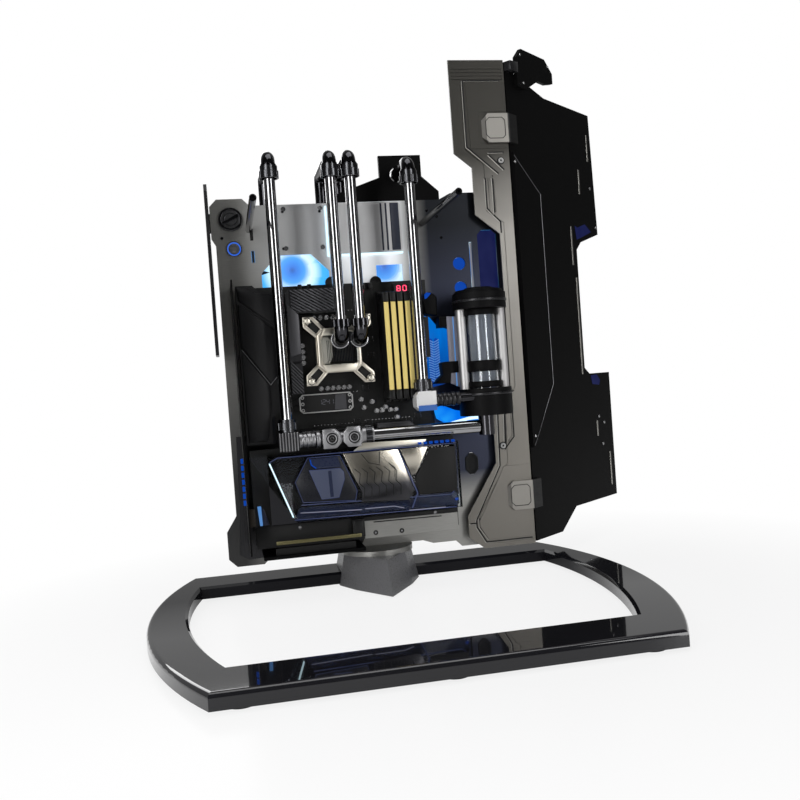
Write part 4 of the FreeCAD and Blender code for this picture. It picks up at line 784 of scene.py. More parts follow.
def status_screen():
    """The glass of the small screen below the processor, its pale rim, eyes, lighter end and dim figures."""
    low, high = span(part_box("display_cover"))
    x0, z0, x1, z1, face = low.x, low.z, high.x, high.z, low.y
    corner = 4
    outline = [(x0 + corner, z0), (x1 - corner, z0), (x1, z0 + corner), (x1, z1 - corner), (x1 - corner, z1),
               (x0 + corner, z1), (x0, z1 - corner), (x0, z0 + corner)]
    rim = soften(hollow(drawn(outline, face - 1.0, face), 1.5), 0.25, 1)
    keep(rim, "screen_rim", "bezel_metal", "rim_grey")
    glass = soften(step(block((x0 + 8, face - 0.6, z0 + 1.6), (x1 - 8, face, z1 - 1.6)), "-Y", 0.5, 0.1), 0.1, 1)
    keep(glass, "screen_glass", "gloss_black", "line_dark")
    patch = [(x1 - 24, z0 + 2.4), (x1 - 8.8, z0 + 2.4), (x1 - 8.8, z1 - 2.4), (x1 - 22, z1 - 2.4)]
    keep(sheet(patch, face - 0.9, face - 0.5, 0.1, 1), "screen_patch", "gloss_black", "sink_flat")
    wide, tall = x1 - x0 - 2 * corner, z1 - z0 - 2 * corner
    eye = soften(washer((x0 + corner, face - 0.7, z0 + corner), 2.2, 1.1, 1.4, sides=20), 0.2, 1)
    copies(eye, [(0, 0, tall), (wide, 0, 0), (wide, 0, tall), (0, 0, tall / 2), (wide, 0, tall / 2)])
    keep(eye, "screen_eyes", "bezel_metal", "rim_grey")
    figures = digits("1241", x0 + 26, (z0 + z1) / 2 + 1, face - 0.7, 5)
    keep(figures, "screen_figures", "light_acrylic", "dim_figures")


def board_slots():
    """A steel shell over the expansion slot, and the flat heatsink beside the lower one."""
    shell = soften(hollow(block((-53, 113.4, -108.5), (39, 125, -99.5)), 1.2), 0.3, 1)
    keep(shell, "slot_shell", "screw_steel")
    plate = step(drawn([(44, -96), (86, -96), (100, -110), (100, -150), (44, -150)], 112, BOARD), "-Y", 2, 1)
    keep(soften(plate, 0.8), "chipset_cover", "sink_metal", "sink_flat")


# Processor block

TUBE = 71.5


def processor_block():
    """Bent bracket arms with slots, post nuts, the nickel rim with its bands, dark fins, port rings and cuffs."""
    front = 101.5
    arm = hollow(drawn([(15, 27), (27, 15), (43, 30), (43, 43), (30, 43)], front - 3.2, front - 0.2), 4.6)
    keep(turned(soften(arm, 0.8), QUARTERS), "bracket_arms", "nickel")
    slot = sheet([(18, 26), (26, 18), (39.5, 31), (39.5, 39.5), (31, 39.5)], front - 0.9, front, 0.2, 1)
    keep(turned(slot, QUARTERS), "bracket_slots", "nickel", "line_dark")
    post = 37.5
    nut = soften(step(drum((post, front - 5, post), 5.2, 6, sides=6), "-Y", 1.6, 2.5), 0.5)
    keep(strewn(nut, [(post, post), (-post, post), (post, -post), (-post, -post)]), "bracket_nuts", "nickel",
         "pale_nickel")
    rim = [(-27, -19), (-19, -27), (19, -27), (27, -19), (27, 19), (19, 27), (-19, 27), (-27, 19)]
    keep(soften(hollow(drawn(rim, 91.5, 101.4), 5.8), 1.0), "block_rim", "nickel")
    floor = 92.5
    bands = [soften(step(drawn(points, floor - 2.9, floor), "-Y", 0.8, 0.6), 0.5) for points in (
        [(-18, -27.5), (18, -27.5), (22, -18), (-22, -18)], [(-18, 27), (-22, 18), (-8, 18), (-8, 27)])]
    keep(joined(*bands), "block_bands", "nickel", "pale_nickel")
    cheek = drawn([(-22, -17), (-22, 17), (-14, 17), (-9.5, 10), (-9.5, -9), (-14, -17)], floor - 2.3, floor)
    keep(soften(step(cheek, "-Y", 1.2, -0.5), 0.3, 1), "block_cheek", "nickel")
    fin = soften(block((-16, 90.4, -15), (-15.2, 92.0, 12)), 0.15, 1)
    keep(repeat(fin, 17, (1.95, 0, 0)), "block_fins", "nickel", "sink_metal")
    ports = [(24, 0, 0)]
    ring = soften(washer((1, 88.4, 12), 11.2, 8.6, 2.2), 0.5)
    keep(copies(ring, ports), "block_port_rings", "tube_chrome")
    cuff = soften(ribbed((1, TUBE, 31), 9.6, 9), 0.25, 1)
    keep(copies(cuff, ports), "block_cuffs", "black_chrome")


# Graphics card

GLASS = 57.5


def card_glass():
    """The raised clear face with its lit edges, the smoked chamber behind it, and the chamber's window and tray."""
    face = [(-89, -126), (-99, -131), (-75, -198), (-71, -203), (126, -203), (130, -199), (130, -126)]
    keep(sheet(face, GLASS - 2.6, GLASS - 0.1, 0.5), "card_face", "clear_acrylic", "card_clear")
    slant = line([(-98.2, -131.5), (-74.5, -197.5)], 1.7, GLASS - 3.0, GLASS, 0.3)
    keep(slant, "card_slant_light", "light_acrylic", "led_white")
    edges = [line(run, 0.6, GLASS - 2.9, GLASS, 0.15) for run in (
        [(-98, -130), (-88, -125.4), (129, -125.4)], [(-73, -201), (126, -204)],
        [(-64, -184), (120, -188), (129, -180)])]
    keep(joined(*edges), "card_edge_lights", "light_acrylic", "edge_blue")
    glints = [line(run, 0.9, GLASS - 3.4, GLASS - 2.5, 0.2) for run in (
        [(12, -195.4), (48, -195.6), (60, -199)], [(66, -202.4), (112, -202.8)], [(-66, -193), (8, -196)])]
    keep(joined(*glints), "card_glints", "light_acrylic", "glint_pale")
    band = [(-72, -200), (-66, -187), (70, -190), (76, -185), (128, -186), (128, -202)]
    keep(sheet(band, GLASS + 0.6, GLASS + 2.2, 0.4), "card_lower_band", "clear_acrylic", "band_blue")
    chamber = [(-53, -128), (-14, -128), (4, -172), (1, -184), (-62, -181), (-70, -156)]
    keep(sheet(chamber, GLASS - 4.4, GLASS - 2.7, 0.5), "card_chamber", "clear_acrylic", "smoke_dark")
    window = [(-52.5, -143), (-15, -143.5), (-11, -148), (-10.5, -157), (-18.6, -178.5), (-39.5, -179)]
    keep(sheet(window, GLASS - 5.2, GLASS - 4.4, 0.3), "card_window", "clear_acrylic", "slate_blue")
    bar = line([(-27.8, -145.5), (-27, -177)], 4.0, GLASS - 5.5, GLASS - 5.0, 0.15)
    keep(bar, "card_window_bar", "clear_acrylic", "band_blue")
    tray = drawn([(-51, -129.6), (-17, -129.6), (-14, -142), (-44, -142), (-49.5, -137)], GLASS - 5.2, GLASS - 4.4)
    keep(soften(step(tray, "-Y", 1.4, -0.4), 0.2, 1), "card_tray", "clear_acrylic", "band_blue")
    glint = line([(-50.4, -130), (-49, -137), (-43.6, -141.4)], 1.3, GLASS - 5.7, GLASS - 5.0, 0.2)
    keep(glint, "card_tray_glint", "light_acrylic", "vent_blue")
    rims = [soften(hollow(drawn(points, GLASS - 5.4, GLASS - 4.3), 0.45), 0.1, 1) for points in (chamber, window)]
    keep(joined(*rims), "card_chamber_edges", "light_acrylic", "edge_blue")


def card_mirror():
    """The polished cold plate with milled channels, seen through the clear face."""
    back = GLASS - 2.7
    plate = [(-10, -127), (57, -127), (74, -178), (66, -190), (8, -186), (10, -176)]
    keep(sheet(plate, GLASS - 4.0, back, 0.4), "card_mirror", "nickel", "mirror_plate")
    lintel = sheet([(3, -125.4), (16, -116), (95, -118), (90, -125.4)], GLASS + 3, GLASS + 4.4, 0.4)
    keep(lintel, "card_lintel", "nickel", "pale_nickel")
    wing = sheet([(60, -127), (94, -127), (78, -158), (72, -160)], GLASS - 4.0, back, 0.4)
    keep(wing, "card_mirror_wing", "nickel", "mirror_plate")
    wave = [(2, -146), (9, -152), (7, -164), (13, -170), (12, -182)]
    runs = [[(x + 9 * i, z) for x, z in wave] for i in range(6)]
    runs += [[(12, -129), (20, -140), (34, -144)], [(34, -128), (33, -142)], [(44, -142), (52, -149), (51, -160)]]
    channels = [line(run, 0.9, GLASS - 4.4, GLASS - 3.6, 0.15) for run in runs]
    keep(joined(*channels), "card_channels", "black_chrome", "line_dark")
    dark = drawn([(76, -164), (97, -129), (129, -129), (128, -184), (80, -184)], GLASS - 3.8, back)
    keep(soften(step(dark, "-Y", 1.2, 0.5), 0.4), "card_dark_end", "gloss_black", "line_dark")
    strut = line([(57, -127), (78, -182), (70, -200)], 1.2, GLASS - 4.4, back, 0.25)
    keep(strut, "card_strut", "light_acrylic", "edge_blue")


def card_frame():
    """What lies round and below the card: lamps, the backing, the skirt with its screws, and the riser's contacts."""
    back = 83.4
    lamp = soften(step(block((84, 58, -124), (88, 62, -121)), "-Y", 0.6, 0.4), 0.3, 1)
    copies(lamp, [(7 * i, 0, 0) for i in range(1, 7)] + [(41, 0, -72)])
    keep(lamp, "card_lamps", "light_acrylic", "vent_blue")
    backing = [(-119, -209), (133, -209), (133, -214), (13, -214), (13, -236), (-119, -236)]
    keep(sheet(backing, back - 1.9, back, 0.4), "card_backing", "gloss_black", "line_dark")
    screw = soften(step(drum((-66, 81, -214), 2.2, 1.6, sides=20), "-Y", 0.8, -0.6), 0.25, 1)
    keep(copies(screw, [(170, 0, 2)]), "card_screws", "screw_steel")
    skirt = [(13.4, -214.4), (133, -214.4), (133, -236.6), (13.4, -236.6)]
    keep(sheet(skirt, back - 1.4, back, 0.3, 1), "card_skirt", "plate_metal")
    spots = ((27, -229.9), (60, -230.7))
    slit = line([(25, -216.6), (112, -217.4)], 1.4, 81.6, 82.4, 0.2)
    seats = [washer((x, 81.7, z), 3.0, 1.5, 1.0, sides=24) for x, z in spots]
    keep(soften(joined(slit, *seats), 0.2, 1), "skirt_slit", "panel_black", "line_dark")
    heads = [step(drum((x, 81.6, z), 1.6, 0.9, sides=20), "-Y", 0.6, -0.4) for x, z in spots]
    keep(soften(joined(*heads), 0.15, 1), "skirt_screws", "screw_steel")
    light = sheet([(-115.4, -184), (-111, -184), (-110.4, -207.4), (-113.6, -207.4)], 78.6, back, 0.6)
    keep(light, "card_corner_light", "light_acrylic", "cable_blue")
    wedge = sheet([(-110.6, -185), (-107.4, -189), (-102, -207.4), (-110, -207.4)], 79.4, back, 0.5)
    keep(wedge, "card_corner_wedge", "clear_acrylic", "band_blue")
    clip = soften(step(block((-127, 79, -208), (-118.5, back, -186)), "-Y", 1, 0.6), 0.4)
    keep(clip, "card_corner_clip", "memory_gold", "brown_dark")
    bar = soften(block((-96, 72.0, -231.6), (8, 75.0, -227.4)), 0.5)
    teeth = repeat(soften(block((-94, 71.4, -231), (-93, 72.4, -228)), 0.15, 1), 50, (2.02, 0, 0))
    keep(joined(bar, teeth), "riser_contacts", "memory_gold", "dull_gold")
    riser = [(-122, -100), (-134, -100), (-136, -183), (-140, -249), (-129, -256), (-83, -254), (-36, -253),
             (17, -250), (20, -243), (18, -221), (-118, -212)]
    keep(sheet(riser, BEHIND - 1.6, BEHIND, 0.3, 1), "riser_backing", "panel_black", "satin_strip")
    latch = soften(step(block((-2, 74, -232), (13, 83, -210)), "-Y", 2, 1), 0.8)
    keep(latch, "riser_latch", "socket_plastic")


# Cooling loop

TUBES = (-73, 1, 25, 98)
PORTS = (-21.5, 5.5)
PORT_LINE = -108
TANK = (183, 91.5)


def loop_fittings():
    """Grip ribs on the tube collars, ribs on the corner fitting, rings on the adapters and the ports."""
    tops = list(zip(TUBES, (213, 213, 213, 203)))
    grips = [ribbed((x, TUBE, z), 11.4, 9) for x, z in tops + [(-73, -89), (98, -52)]]
    grips.append(ribbed((25, TUBE, PORT_LINE), 11.6, 8, "X"))
    keep(soften(joined(*grips), 0.2, 1), "collar_grips", "collar_metal")
    rib = soften(block((-84.4, 58.2, -119), (-82.6, 60.5, -97)), 0.4, 1)
    keep(repeat(rib, 7, (3.5, 0, 0)), "corner_ribs", "black_chrome", "fitting_grey")
    rings = [washer((x, TUBE, PORT_LINE), radius, 6.4, 4.7, "X")
             for x, radius in ((-58, 9.6), (-53, 9.0), (-48, 9.8), (-43, 9.0), (-37, 10.4))]
    keep(soften(joined(*rings), 0.5), "adapter_rings", "black_chrome", "fitting_grey")
    ports = []
    for x in PORTS:
        ports += [washer((x, 56.6, PORT_LINE), 9.6, 7.4, 2.2, sides=40),
                  washer((x, 57.2, PORT_LINE), 5.8, 4.6, 2.6, sides=32),
                  step(drum((x, 57.6, PORT_LINE), 2.8, 2.4, sides=6), "-Y", 0.9, -0.8)]
    keep(soften(joined(*ports), 0.35), "port_rings", "black_chrome", "fitting_grey")
    flanges = [drawn(points, 57.0, 61.0) for points in (
        [(-32.5, -96), (-18, -96), (-12.6, -102), (-12.6, -114), (-18, -119.8), (-32.5, -119.8)],
        [(-7.6, -102), (-2, -95), (13.6, -95), (13.6, -119.6), (-2, -119.6), (-7.6, -113)])]
    keep(soften(joined(*flanges), 0.8), "port_flanges", "black_chrome", "fitting_grey")
    front = span(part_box("reservoir_fitting"))[0].y
    face = soften(step(block((88, front - 1.0, -76), (111, front + 0.6, -59.4)), "-Y", 0.8, 0.4), 0.4)
    keep(face, "fitting_face", "fitting_white")
    # The white fitting's lower part, blue-lit as a painted glow.
    base = soften(step(block((88, front - 1.0, -83.2), (111, front + 0.6, -76.6)), "-Y", 0.8, 0.3), 0.4)
    keep(base, "fitting_base", "light_acrylic", "fitting_painted_blue_light")
    floors = joined(*(drum((x, 57.0, PORT_LINE), 7.2, 1.2, sides=40) for x in PORTS))
    keep(soften(floors, 0.2, 1), "port_floors", "black_chrome", "line_dark")
    cuffs = [washer((x, TUBE, z + 11.5), 9.6, 7.2, 3.0, "Z") for x, z in tops]
    keep(soften(joined(*cuffs), 0.6), "elbow_cuffs", "tube_chrome", "black_mirror")
    rings = [washer((x, TUBE, -71), radius, 5.6, 5, "X") for x, radius in (
        (113, 8.8), (118.4, 8.2), (123.8, 8.8), (129.2, 8.2), (134.6, 8.8), (141, 8.2))]
    keep(soften(joined(*rings), 0.5), "pump_adapter_rings", "black_chrome", "satin_strip")


def reservoir():
    """Clamp bands and clamps, the grey shield, the liquid column, the cap's top steps, lips, and the pump's lit foot
    with a strip of painted white highlight.
    """
    bands = [washer((*TANK, z), 22.5, 19.2, height, "Z", 40) for z, height in ((36, 8), (-32.6, 14), (-56, 8))]
    keep(soften(joined(*bands), 0.6), "tank_bands", "tank_metal")
    clamps = [step(block((132, 104, 20.5), (168, BEHIND, 34.6)), "-Y", 2, 1.2),
              drawn([(130.5, -25), (136, -23.8), (168, -24), (168, -38.7), (142.2, -38.7), (140.7, -52), (120.4, -51.2),
                     (131.6, -40.2)], 100, BEHIND)]
    keep(soften(joined(*clamps), 0.8), "tank_clamps", "tank_metal")
    shield = sheet([(141.5, 34), (154.4, 33.5), (154.4, -58), (141, -52)], 101.6, 104.4, 1.0)
    keep(shield, "tank_shield", "clear_acrylic", "shield_grey")
    seam = line([(149.8, 33), (149.2, -56)], 1.5, 101.2, 102.2, 0.3)
    keep(seam, "tank_shield_light", "light_acrylic", "cable_blue")
    liquid = soften(step(drum((*TANK, -11), 15.6, 95, "Z", 40), "+Z", 2, 0.6), 0.8)
    keep(liquid, "tank_liquid", "clear_acrylic", "tank_liquid")
    cap = soften(step(step(drum((*TANK, 61), 31, 2.4, "Z", 48), "+Z", 7, 3), "+Z", 6, 2), 0.6)
    keep(cap, "tank_cap_top", "tank_metal")
    lip = soften(washer((*TANK, 50), 35, 33.8, 3, "Z", 56), 0.5)
    keep(copies(lip, [(0, 0, -118)]), "tank_lips", "column_metal", "satin_strip")
    foot = [(98, -80), (123, -84), (126, -97), (139, -105), (190, -102), (195, -91), (167, -91), (147, -87), (127, -78)]
    keep(sheet(foot, 112, BEHIND, 0.8), "pump_foot_light", "light_acrylic", "pump_blue")
    # A strip of painted white highlight on the pump's foot.
    white_highlight = sheet([(139, -102), (165, -97), (192, -97), (192, -100), (165, -101), (140, -105)], 109, 112, 0.4)
    keep(white_highlight, "pump_foot_highlight", "light_acrylic", "led_white")


# Plate

BADGE = (-121, 173)
BUTTON = (-119, 136)


def badge_and_button():
    """A bare ringed badge, and the power button's lit ring and cap."""
    x, z = BADGE
    rings = [washer((x, 130.2, z), 14.2, 11.6, 2.4, sides=48), washer((x, 130.6, z), 8.4, 7.2, 1.6, sides=40)]
    bar = soften(block((x - 12.4, 129.4, z - 1.8), (x + 12.4, 131.6, z + 1.8)), 0.4)
    turn(bar, -28, (x, 130, z))
    keep(soften(joined(*rings, bar), 0.4), "badge_rings", "badge_metal", "black_chrome")
    x, z = BUTTON
    light = soften(washer((x, 131.7, z), 8.5, 7.0, 1.0, sides=40), 0.25, 1)
    keep(light, "button_light", "light_acrylic", "led_blue")
    cap = soften(step(drum((x, 130.3, z), 5.2, 0.9, sides=32), "-Y", 1.6, -0.4), 0.25, 1)
    keep(cap, "button_cap", "button_metal", body="power_button")


def lit_panel():
    """The silver sheet of the lit panel, its dark folds and its glowing edges."""
    front = 130.5
    silver = step(drawn([(2, 125), (95, 125), (95, 187), (2, 187)], front - 0.9, front), "-Y", 0.6, 0.2)
    keep(soften(silver, 0.2, 1), "panel_sheet", "light_acrylic")
    folds = [repeat(soften(block((70, front - 1.8, 126), (72.4, front - 0.5, 187)), 0.5), 2, (6.5, 0, 0)),
             soften(step(block((83, front - 1.6, 126), (94.4, front - 0.5, 187)), "-Y", 1.5, -0.3), 0.3)]
    keep(joined(*folds), "panel_folds", "sink_metal", "fold_grey")
    edges = joined(soften(block((-1.6, front - 1.2, 124), (0.9, front + 2.8, 186)), 0.4, 1),
                   soften(block((-1.6, front - 1.2, 121.6), (97, front + 2.8, 123.8)), 0.4, 1))
    keep(edges, "panel_light_edges", "light_acrylic", "led_white")


def plate_openings():
    """What fills the plate's openings: rubber, a tinted sheet whose navy shows as a painted glow, and lit lenses."""
    grommet = drawn([(161.4, -168), (167, -174), (173, -174), (178.6, -168), (178.6, -152), (173, -146), (167, -146),
                     (161.4, -152)], 132.2, 136)
    grommet = soften(step(step(grommet, "-Y", 2.0, -0.8), "-Y", 1.4, -0.8), 0.7)
    keep(grommet, "cable_grommet", "foot_rubber")
    # The tinted sheet, its navy a painted glow.
    tint = soften(step(block((199.4, 135.6, 62.6), (224.6, 137, 147.6)), "-Y", 1.2, -0.4), 0.2, 1)
    keep(tint, "side_window_tint", "clear_acrylic", "painted_navy_glow")
    vents = joined(*(step(drum((172, 136.4, z), 8.3, 1.6, sides=36), "-Y", 1.0, -0.3) for z in (105, 73)))
    keep(soften(vents, 0.2, 1), "vent_lenses", "light_acrylic", "vent_blue")
    slit = soften(step(block((188.4, 134.4, 70), (190.2, 137, 132)), "-Y", 0.3, 0.3), 0.12, 1)
    keep(slit, "slit_lens", "light_acrylic", "slit_pale")
    plug = soften(step(drum((0, 131.6, 88), 7.4, 4, sides=36), "-Y", 2.4, -1.2), 0.8)
    keep(copies(plug, [(58, 0, -2)]), "fan_grommets", "foot_rubber")


def plate_gap():
    """What shows beside the reservoir: blue light, a black hose with a glint, and two ringed sleeves."""
    glow = [(109, 40), (124, 36), (134, 23), (147, 19), (147, -26), (140, -52), (109, -58)]
    keep(sheet(glow, 124.0, 125.2, 0.4), "gap_light", "light_acrylic", "gap_blue")
    hose = [(114, 58), (118, 66), (124, 68), (133.4, 61.7), (132.7, 36.3), (117, 39)]
    keep(sheet(hose, 112, 125.3, 2.0, 3), "gap_hose", "tank_metal")
    glint = sheet([(116.8, 64.4), (120, 67), (126, 65.8), (119.9, 59.4), (117, 58.5)], 111.2, 112.6, 0.5)
    keep(glint, "hose_glint", "light_acrylic", "vent_blue")
    depth, low = 120.2, -47
    springs, sleeves = [], []
    for x, lean in ((122.4, 28), (130.0, -28)):
        ring = soften(washer((x, depth, low), 3.9, 2.5, 1.3, "Z", 24), 0.35, 1)
        springs.append(repeat(turn(ring, lean, (x, depth, low)), 17, (0, 0, 3.2)))
        sleeves.append(step(drum((x, depth, low + 25.5), 2.6, 57, "Z", 24), "+Z", 0.8, 0.8))
    keep(joined(*springs), "gap_cable", "light_acrylic", "cable_blue")
    keep(soften(joined(*sleeves), 0.3, 1), "gap_cable_core", "light_acrylic", "vent_blue")


def plate_screws():
    """Sunk screw heads on the plate, and the dark floors of the lug's slots."""
    spots = [(-55, 181), (-8, 180), (-57, 134), (-8, 133), (133, 176), (146, 168), (150, 140), (-133, 150)]
    x, z = spots[0]
    head = soften(step(drum((x, 133.2, z), 1.8, 1.6, sides=24), "-Y", 0.7, -0.7), 0.3, 1)
    keep(strewn(head, spots), "plate_heads", "screw_steel", "black_chrome")
    slots = soften(joined(*(block((-97.6, 133.9, z), (-94.4, 136, z + 14.6)) for z in (146.2, 118.2))), 0.4, 1)
    keep(slots, "lug_slot_fill", "panel_black", "line_dark")


def outlet_slots():
    """Blue light behind the outlet panel's slots, and the lamps along its front edge."""
    lens = soften(step(block((-127.2, 52, -206), (-126.2, 58, -152)), "-X", 0.8, -0.3), 0.15, 1)
    keep(copies(lens, [(0, 14, 0), (0, 28, 0)]), "outlet_lenses", "light_acrylic", "led_blue")
    lamp = soften(step(block((-131.2, 86, -182), (-128, 89.4, -176)), "-X", 0.8, -0.6), 0.3, 1)
    keep(repeat(lamp, 7, (0, 0, 8.5)), "outlet_lamps", "light_acrylic", "vent_blue")


# Tower

COVER_RUNS = [[(190, 341), (190, 255), (231, 219)], [(241, 341), (190, 341)],
              [(212, 214), (212, 174), (229, 156), (229, 141)], [(222, 217), (222, 166)],
              [(219, 247), (240, 247)], [(219, 244), (239, 224)],
              [(231, -67), (207, -84), (205, -165), (168, -234), (168, -243), (180, -264), (243, -264)],
              [(227, -88), (216, -96), (214, -143), (227, -128), (227, -88)],
              [(159, -238), (168, -238)], [(172.4, -232), (172.4, -243.4), (183, -259.6), (244, -259.6)]]
COVER_FIELD = [(193, 340), (245, 340), (245, 300), (208, 300), (208, 258), (245, 258), (245, 252), (195, 252)]
COVER_SLAB = [(210, -166), (246, -166), (246, -261), (183, -261), (172, -243), (172, -235)]
COVER_SLOTS = [[(215.4, 213), (221, 216), (225, 212), (225, 168), (220, 165), (215.4, 171)],
               [(217.5, -97), (226, -91), (226, -127), (216, -139)]]
# Runs of pale painted highlight along the side panel's edges.
PANEL_HIGHLIGHT_RUNS = [((225, 267), (225, 307)), ((192, 214), (193, 250)), ((158, 107), (158, 163)), ((164, -53), (165, 89)),
                ((200, -147), (200, -124)), ((235.5, -225), (235.5, -174))]


def cover_lines():
    """Inner pressed fields of the cover: dark lines of painted shade with a pale lip of painted highlight, flat fields,
    slot frames and two screws.
    """
    # Painted shade along the pressed edges.
    lines = [line(run, 2.0, COVER - 0.35, COVER + 0.6, 0.15) for run in COVER_RUNS]
    keep(joined(*lines), "cover_lines", "panel_black", "line_dark")
    # Pale painted highlight on the lit side of each edge.
    lips = [line([(x - 1.6, z - 0.9) for x, z in run], 0.9, COVER - 0.3, COVER + 0.6, 0.12) for run in COVER_RUNS]
    keep(joined(*lips), "cover_lip_highlights", "tower_grey", "pale_painted_highlight")
    fields = [sheet(COVER_FIELD, COVER - 0.5, COVER + 0.5, 0.3, 1)]
    fields += [soften(hollow(drawn(points, COVER - 0.9, COVER + 0.5), 1.5), 0.3, 1) for points in COVER_SLOTS]
    fields.append(sheet(COVER_SLAB, COVER - 0.6, COVER + 0.5, 0.35, 1))
    keep(joined(*fields), "cover_fields", "tower_grey")
    spots = [(235, 236), (211, -139)]
    head = soften(washer((235, 120.4, 236), 3.6, 1.4, 2.0, sides=28), 0.4)
    keep(strewn(head, spots), "cover_screws", "screw_steel", "rim_grey")
    seat = soften(step(drum((235, 121.2, 236), 5.0, 1.0, sides=28), "-Y", 1.2, -0.2), 0.2, 1)
    keep(strewn(seat, spots), "cover_screw_seats", "panel_black", "line_dark")


def cover_clips():
    """Eight-sided pressings on both clips."""
    for name, z in (("upper", 278), ("lower", -206)):
        points = [(216, z - 9), (221, z - 14), (239, z - 14), (243, z - 10), (243, z + 10), (239, z + 14),
                  (221, z + 14), (216, z + 9)]
        rim = soften(hollow(drawn(points, 116.1, 116.9), 0.9), 0.2, 1)
        keep(rim, f"{name}_clip_rim", "panel_black", "line_dark")


def panel_heads(spots, radius, front, back):
    """Round screw heads on the side panel."""
    circle = [(radius * math.cos(i * math.tau / 16), radius * math.sin(i * math.tau / 16)) for i in range(16)]
    return joined(*(sheet([(u + a, z + b) for a, b in circle], front, back, 0.4, where=PANEL) for u, z in spots))


def panel_trim():
    """Pale strips of painted highlight along the edges, a grey line of painted highlight along the rib, lit notch
    corners in painted glow, screws and the hook's seat on the side panel.
    """
    # Pale painted highlights along the panel's edges.
    painted_strips = [line(run, 3.4, -0.7, 0.4, 0.3, PANEL) for run in PANEL_HIGHLIGHT_RUNS]
    keep(joined(*painted_strips), "panel_painted_highlights", "column_metal", "pale_painted_highlight")
    # A grey painted highlight along the rib.
    seam = line([(4, 243), (12, 237), (67, 198), (67.5, -63), (24, -122), (7, -143)], 1.1, -5.4, -4.2, 0.3, PANEL)
    keep(seam, "rib_seam", "blade_black", "grey_rib_highlight")
    lit = joined(drawn([(170, 165), (178, 163), (202, 170), (221, 160), (188, 149), (174, 145)], -0.4, 0.2, PANEL),
                 drawn([(189, -56), (208, -55), (218, -64), (214, -71), (193, -69)], -0.4, 0.2, PANEL))
    keep(soften(lit, 0.15, 1), "notch_lights", "light_acrylic", "painted_navy_glow")
    spots = ((226, 226), (238, 168), (206, -118), (222, -128), (214, -160), (20, 238), (30, -112))
    keep(panel_heads(spots, 2.4, -1.2, 0.4), "panel_heads", "screw_steel")
    spots = ((110, 382), (41, 345), (36, 382), (5, 234), (9, -130))
    keep(panel_heads(spots, 1.8, -6.4, -4.8), "hook_heads", "screw_steel", "can_silver")
    seat = step(drawn([(2, 354), (22, 354), (22, 368), (2, 366)], -10, 2, PANEL), "-Y", 1.5, 1.0)
    keep(soften(seat, 0.8), "hook_seat", "panel_black", "satin_strip")


# Behind the plate

def fan_lights():
    """Each rotor's hub cap, which turns with it, and the lit sheet behind its blades."""
    for i in (1, 2, 3):
        low, high = span(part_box(f"fan_rotor_{i}"))
        middle = (low + high) / 2
        cap = soften(step(drum((middle.x, low.y - 0.5, middle.z), 18, 1.4, sides=48), "-Y", 13, -0.4), 0.3)
        keep(cap, f"fan_hub_{i}", "rotor_plastic", f"milky_rotor_{i}", f"fan_rotor_{i}")
        glow = soften(washer((middle.x, 162.0, middle.z), 56, 8, 0.8, sides=64), 0.2, 1)
        keep(glow, f"fan_light_{i}", "light_acrylic", f"milky_rotor_{i}")


def radiator_fins():
    """Upright fins between the radiator's rails, seen from behind, and a plug at each end."""
    fin = block((-95, 184, 55), (-94.4, 189.2, 159))
    pick(fin, lambda edge: True, "EDGE")
    bpy.ops.mesh.subdivide(number_cuts=1)
    bpy.ops.object.mode_set(mode="OBJECT")
    keep(repeat(fin, 113, (3, 0, 0)), "radiator_fins", "radiator_black")
    low, high = span(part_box("radiator"))
    margin = 9
    plug = drum((low.x + margin, high.y + 0.6, (low.z + high.z) / 2), 7, 2.4, sides=6)
    plug = soften(step(step(plug, "+Y", 1.6, 1.0), "+Y", 1.6, -0.8), 0.4)
    keep(copies(plug, [(high.x - low.x - 2 * margin, 0, 0)]), "radiator_plugs", "black_chrome")


def supply_grille():
    """The power supply's wire guard, its screws, its inlet and its rocker switch."""
    low, high = span(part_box("power_supply"))
    (x, y, z), back, side = (low + high) / 2, high.y, high.x
    wires = [washer((x, back + 1.4, z), radius, radius - 1.6, 1.6, sides=48) for radius in (54, 44, 34, 24)]
    spoke = soften(block((x - 0.9, back + 0.6, z - 54), (x + 0.9, back + 2.2, z + 54)), 0.4, 1)
    spokes = turned(spoke, (45, 90, 135), (x, 0, z))
    keep(soften(joined(*wires, spokes), 0.3, 1), "supply_guard", "screw_steel")
    margin = 6
    wide, tall = high.x - low.x - 2 * margin, high.z - low.z - 2 * margin
    head = drum((low.x + margin, back + 0.5, low.z + margin), 3.0, 1.8, sides=20)
    head = soften(step(head, "+Y", 1.0, -0.7), 0.3, 1)
    keep(copies(head, [(wide, 0, 0), (0, 0, tall), (wide, 0, tall)]), "supply_screws", "screw_steel")
    inlet = step(block((side - 0.4, y - 14, z - 30), (side + 1.6, y + 14, z - 8)), "+X", 3, -1.4)
    rocker = step(block((side - 0.4, y - 10, z + 4), (side + 1.6, y + 10, z + 20)), "+X", 2, 1.0)
    keep(soften(joined(step(inlet, "+X", 2.5, 0.6), rocker), 0.5), "supply_inlet", "socket_plastic")


# Camera, floor and light

VIEW_ANGLES = (10.9, 1.1, 4.1)
CAMERA_SPOT = (-240.45, -1020.0, 256.5)
SENSOR, LENS = 36.0, 40.5
LAMP_AIM = (0.0, 0.1, 0.35)


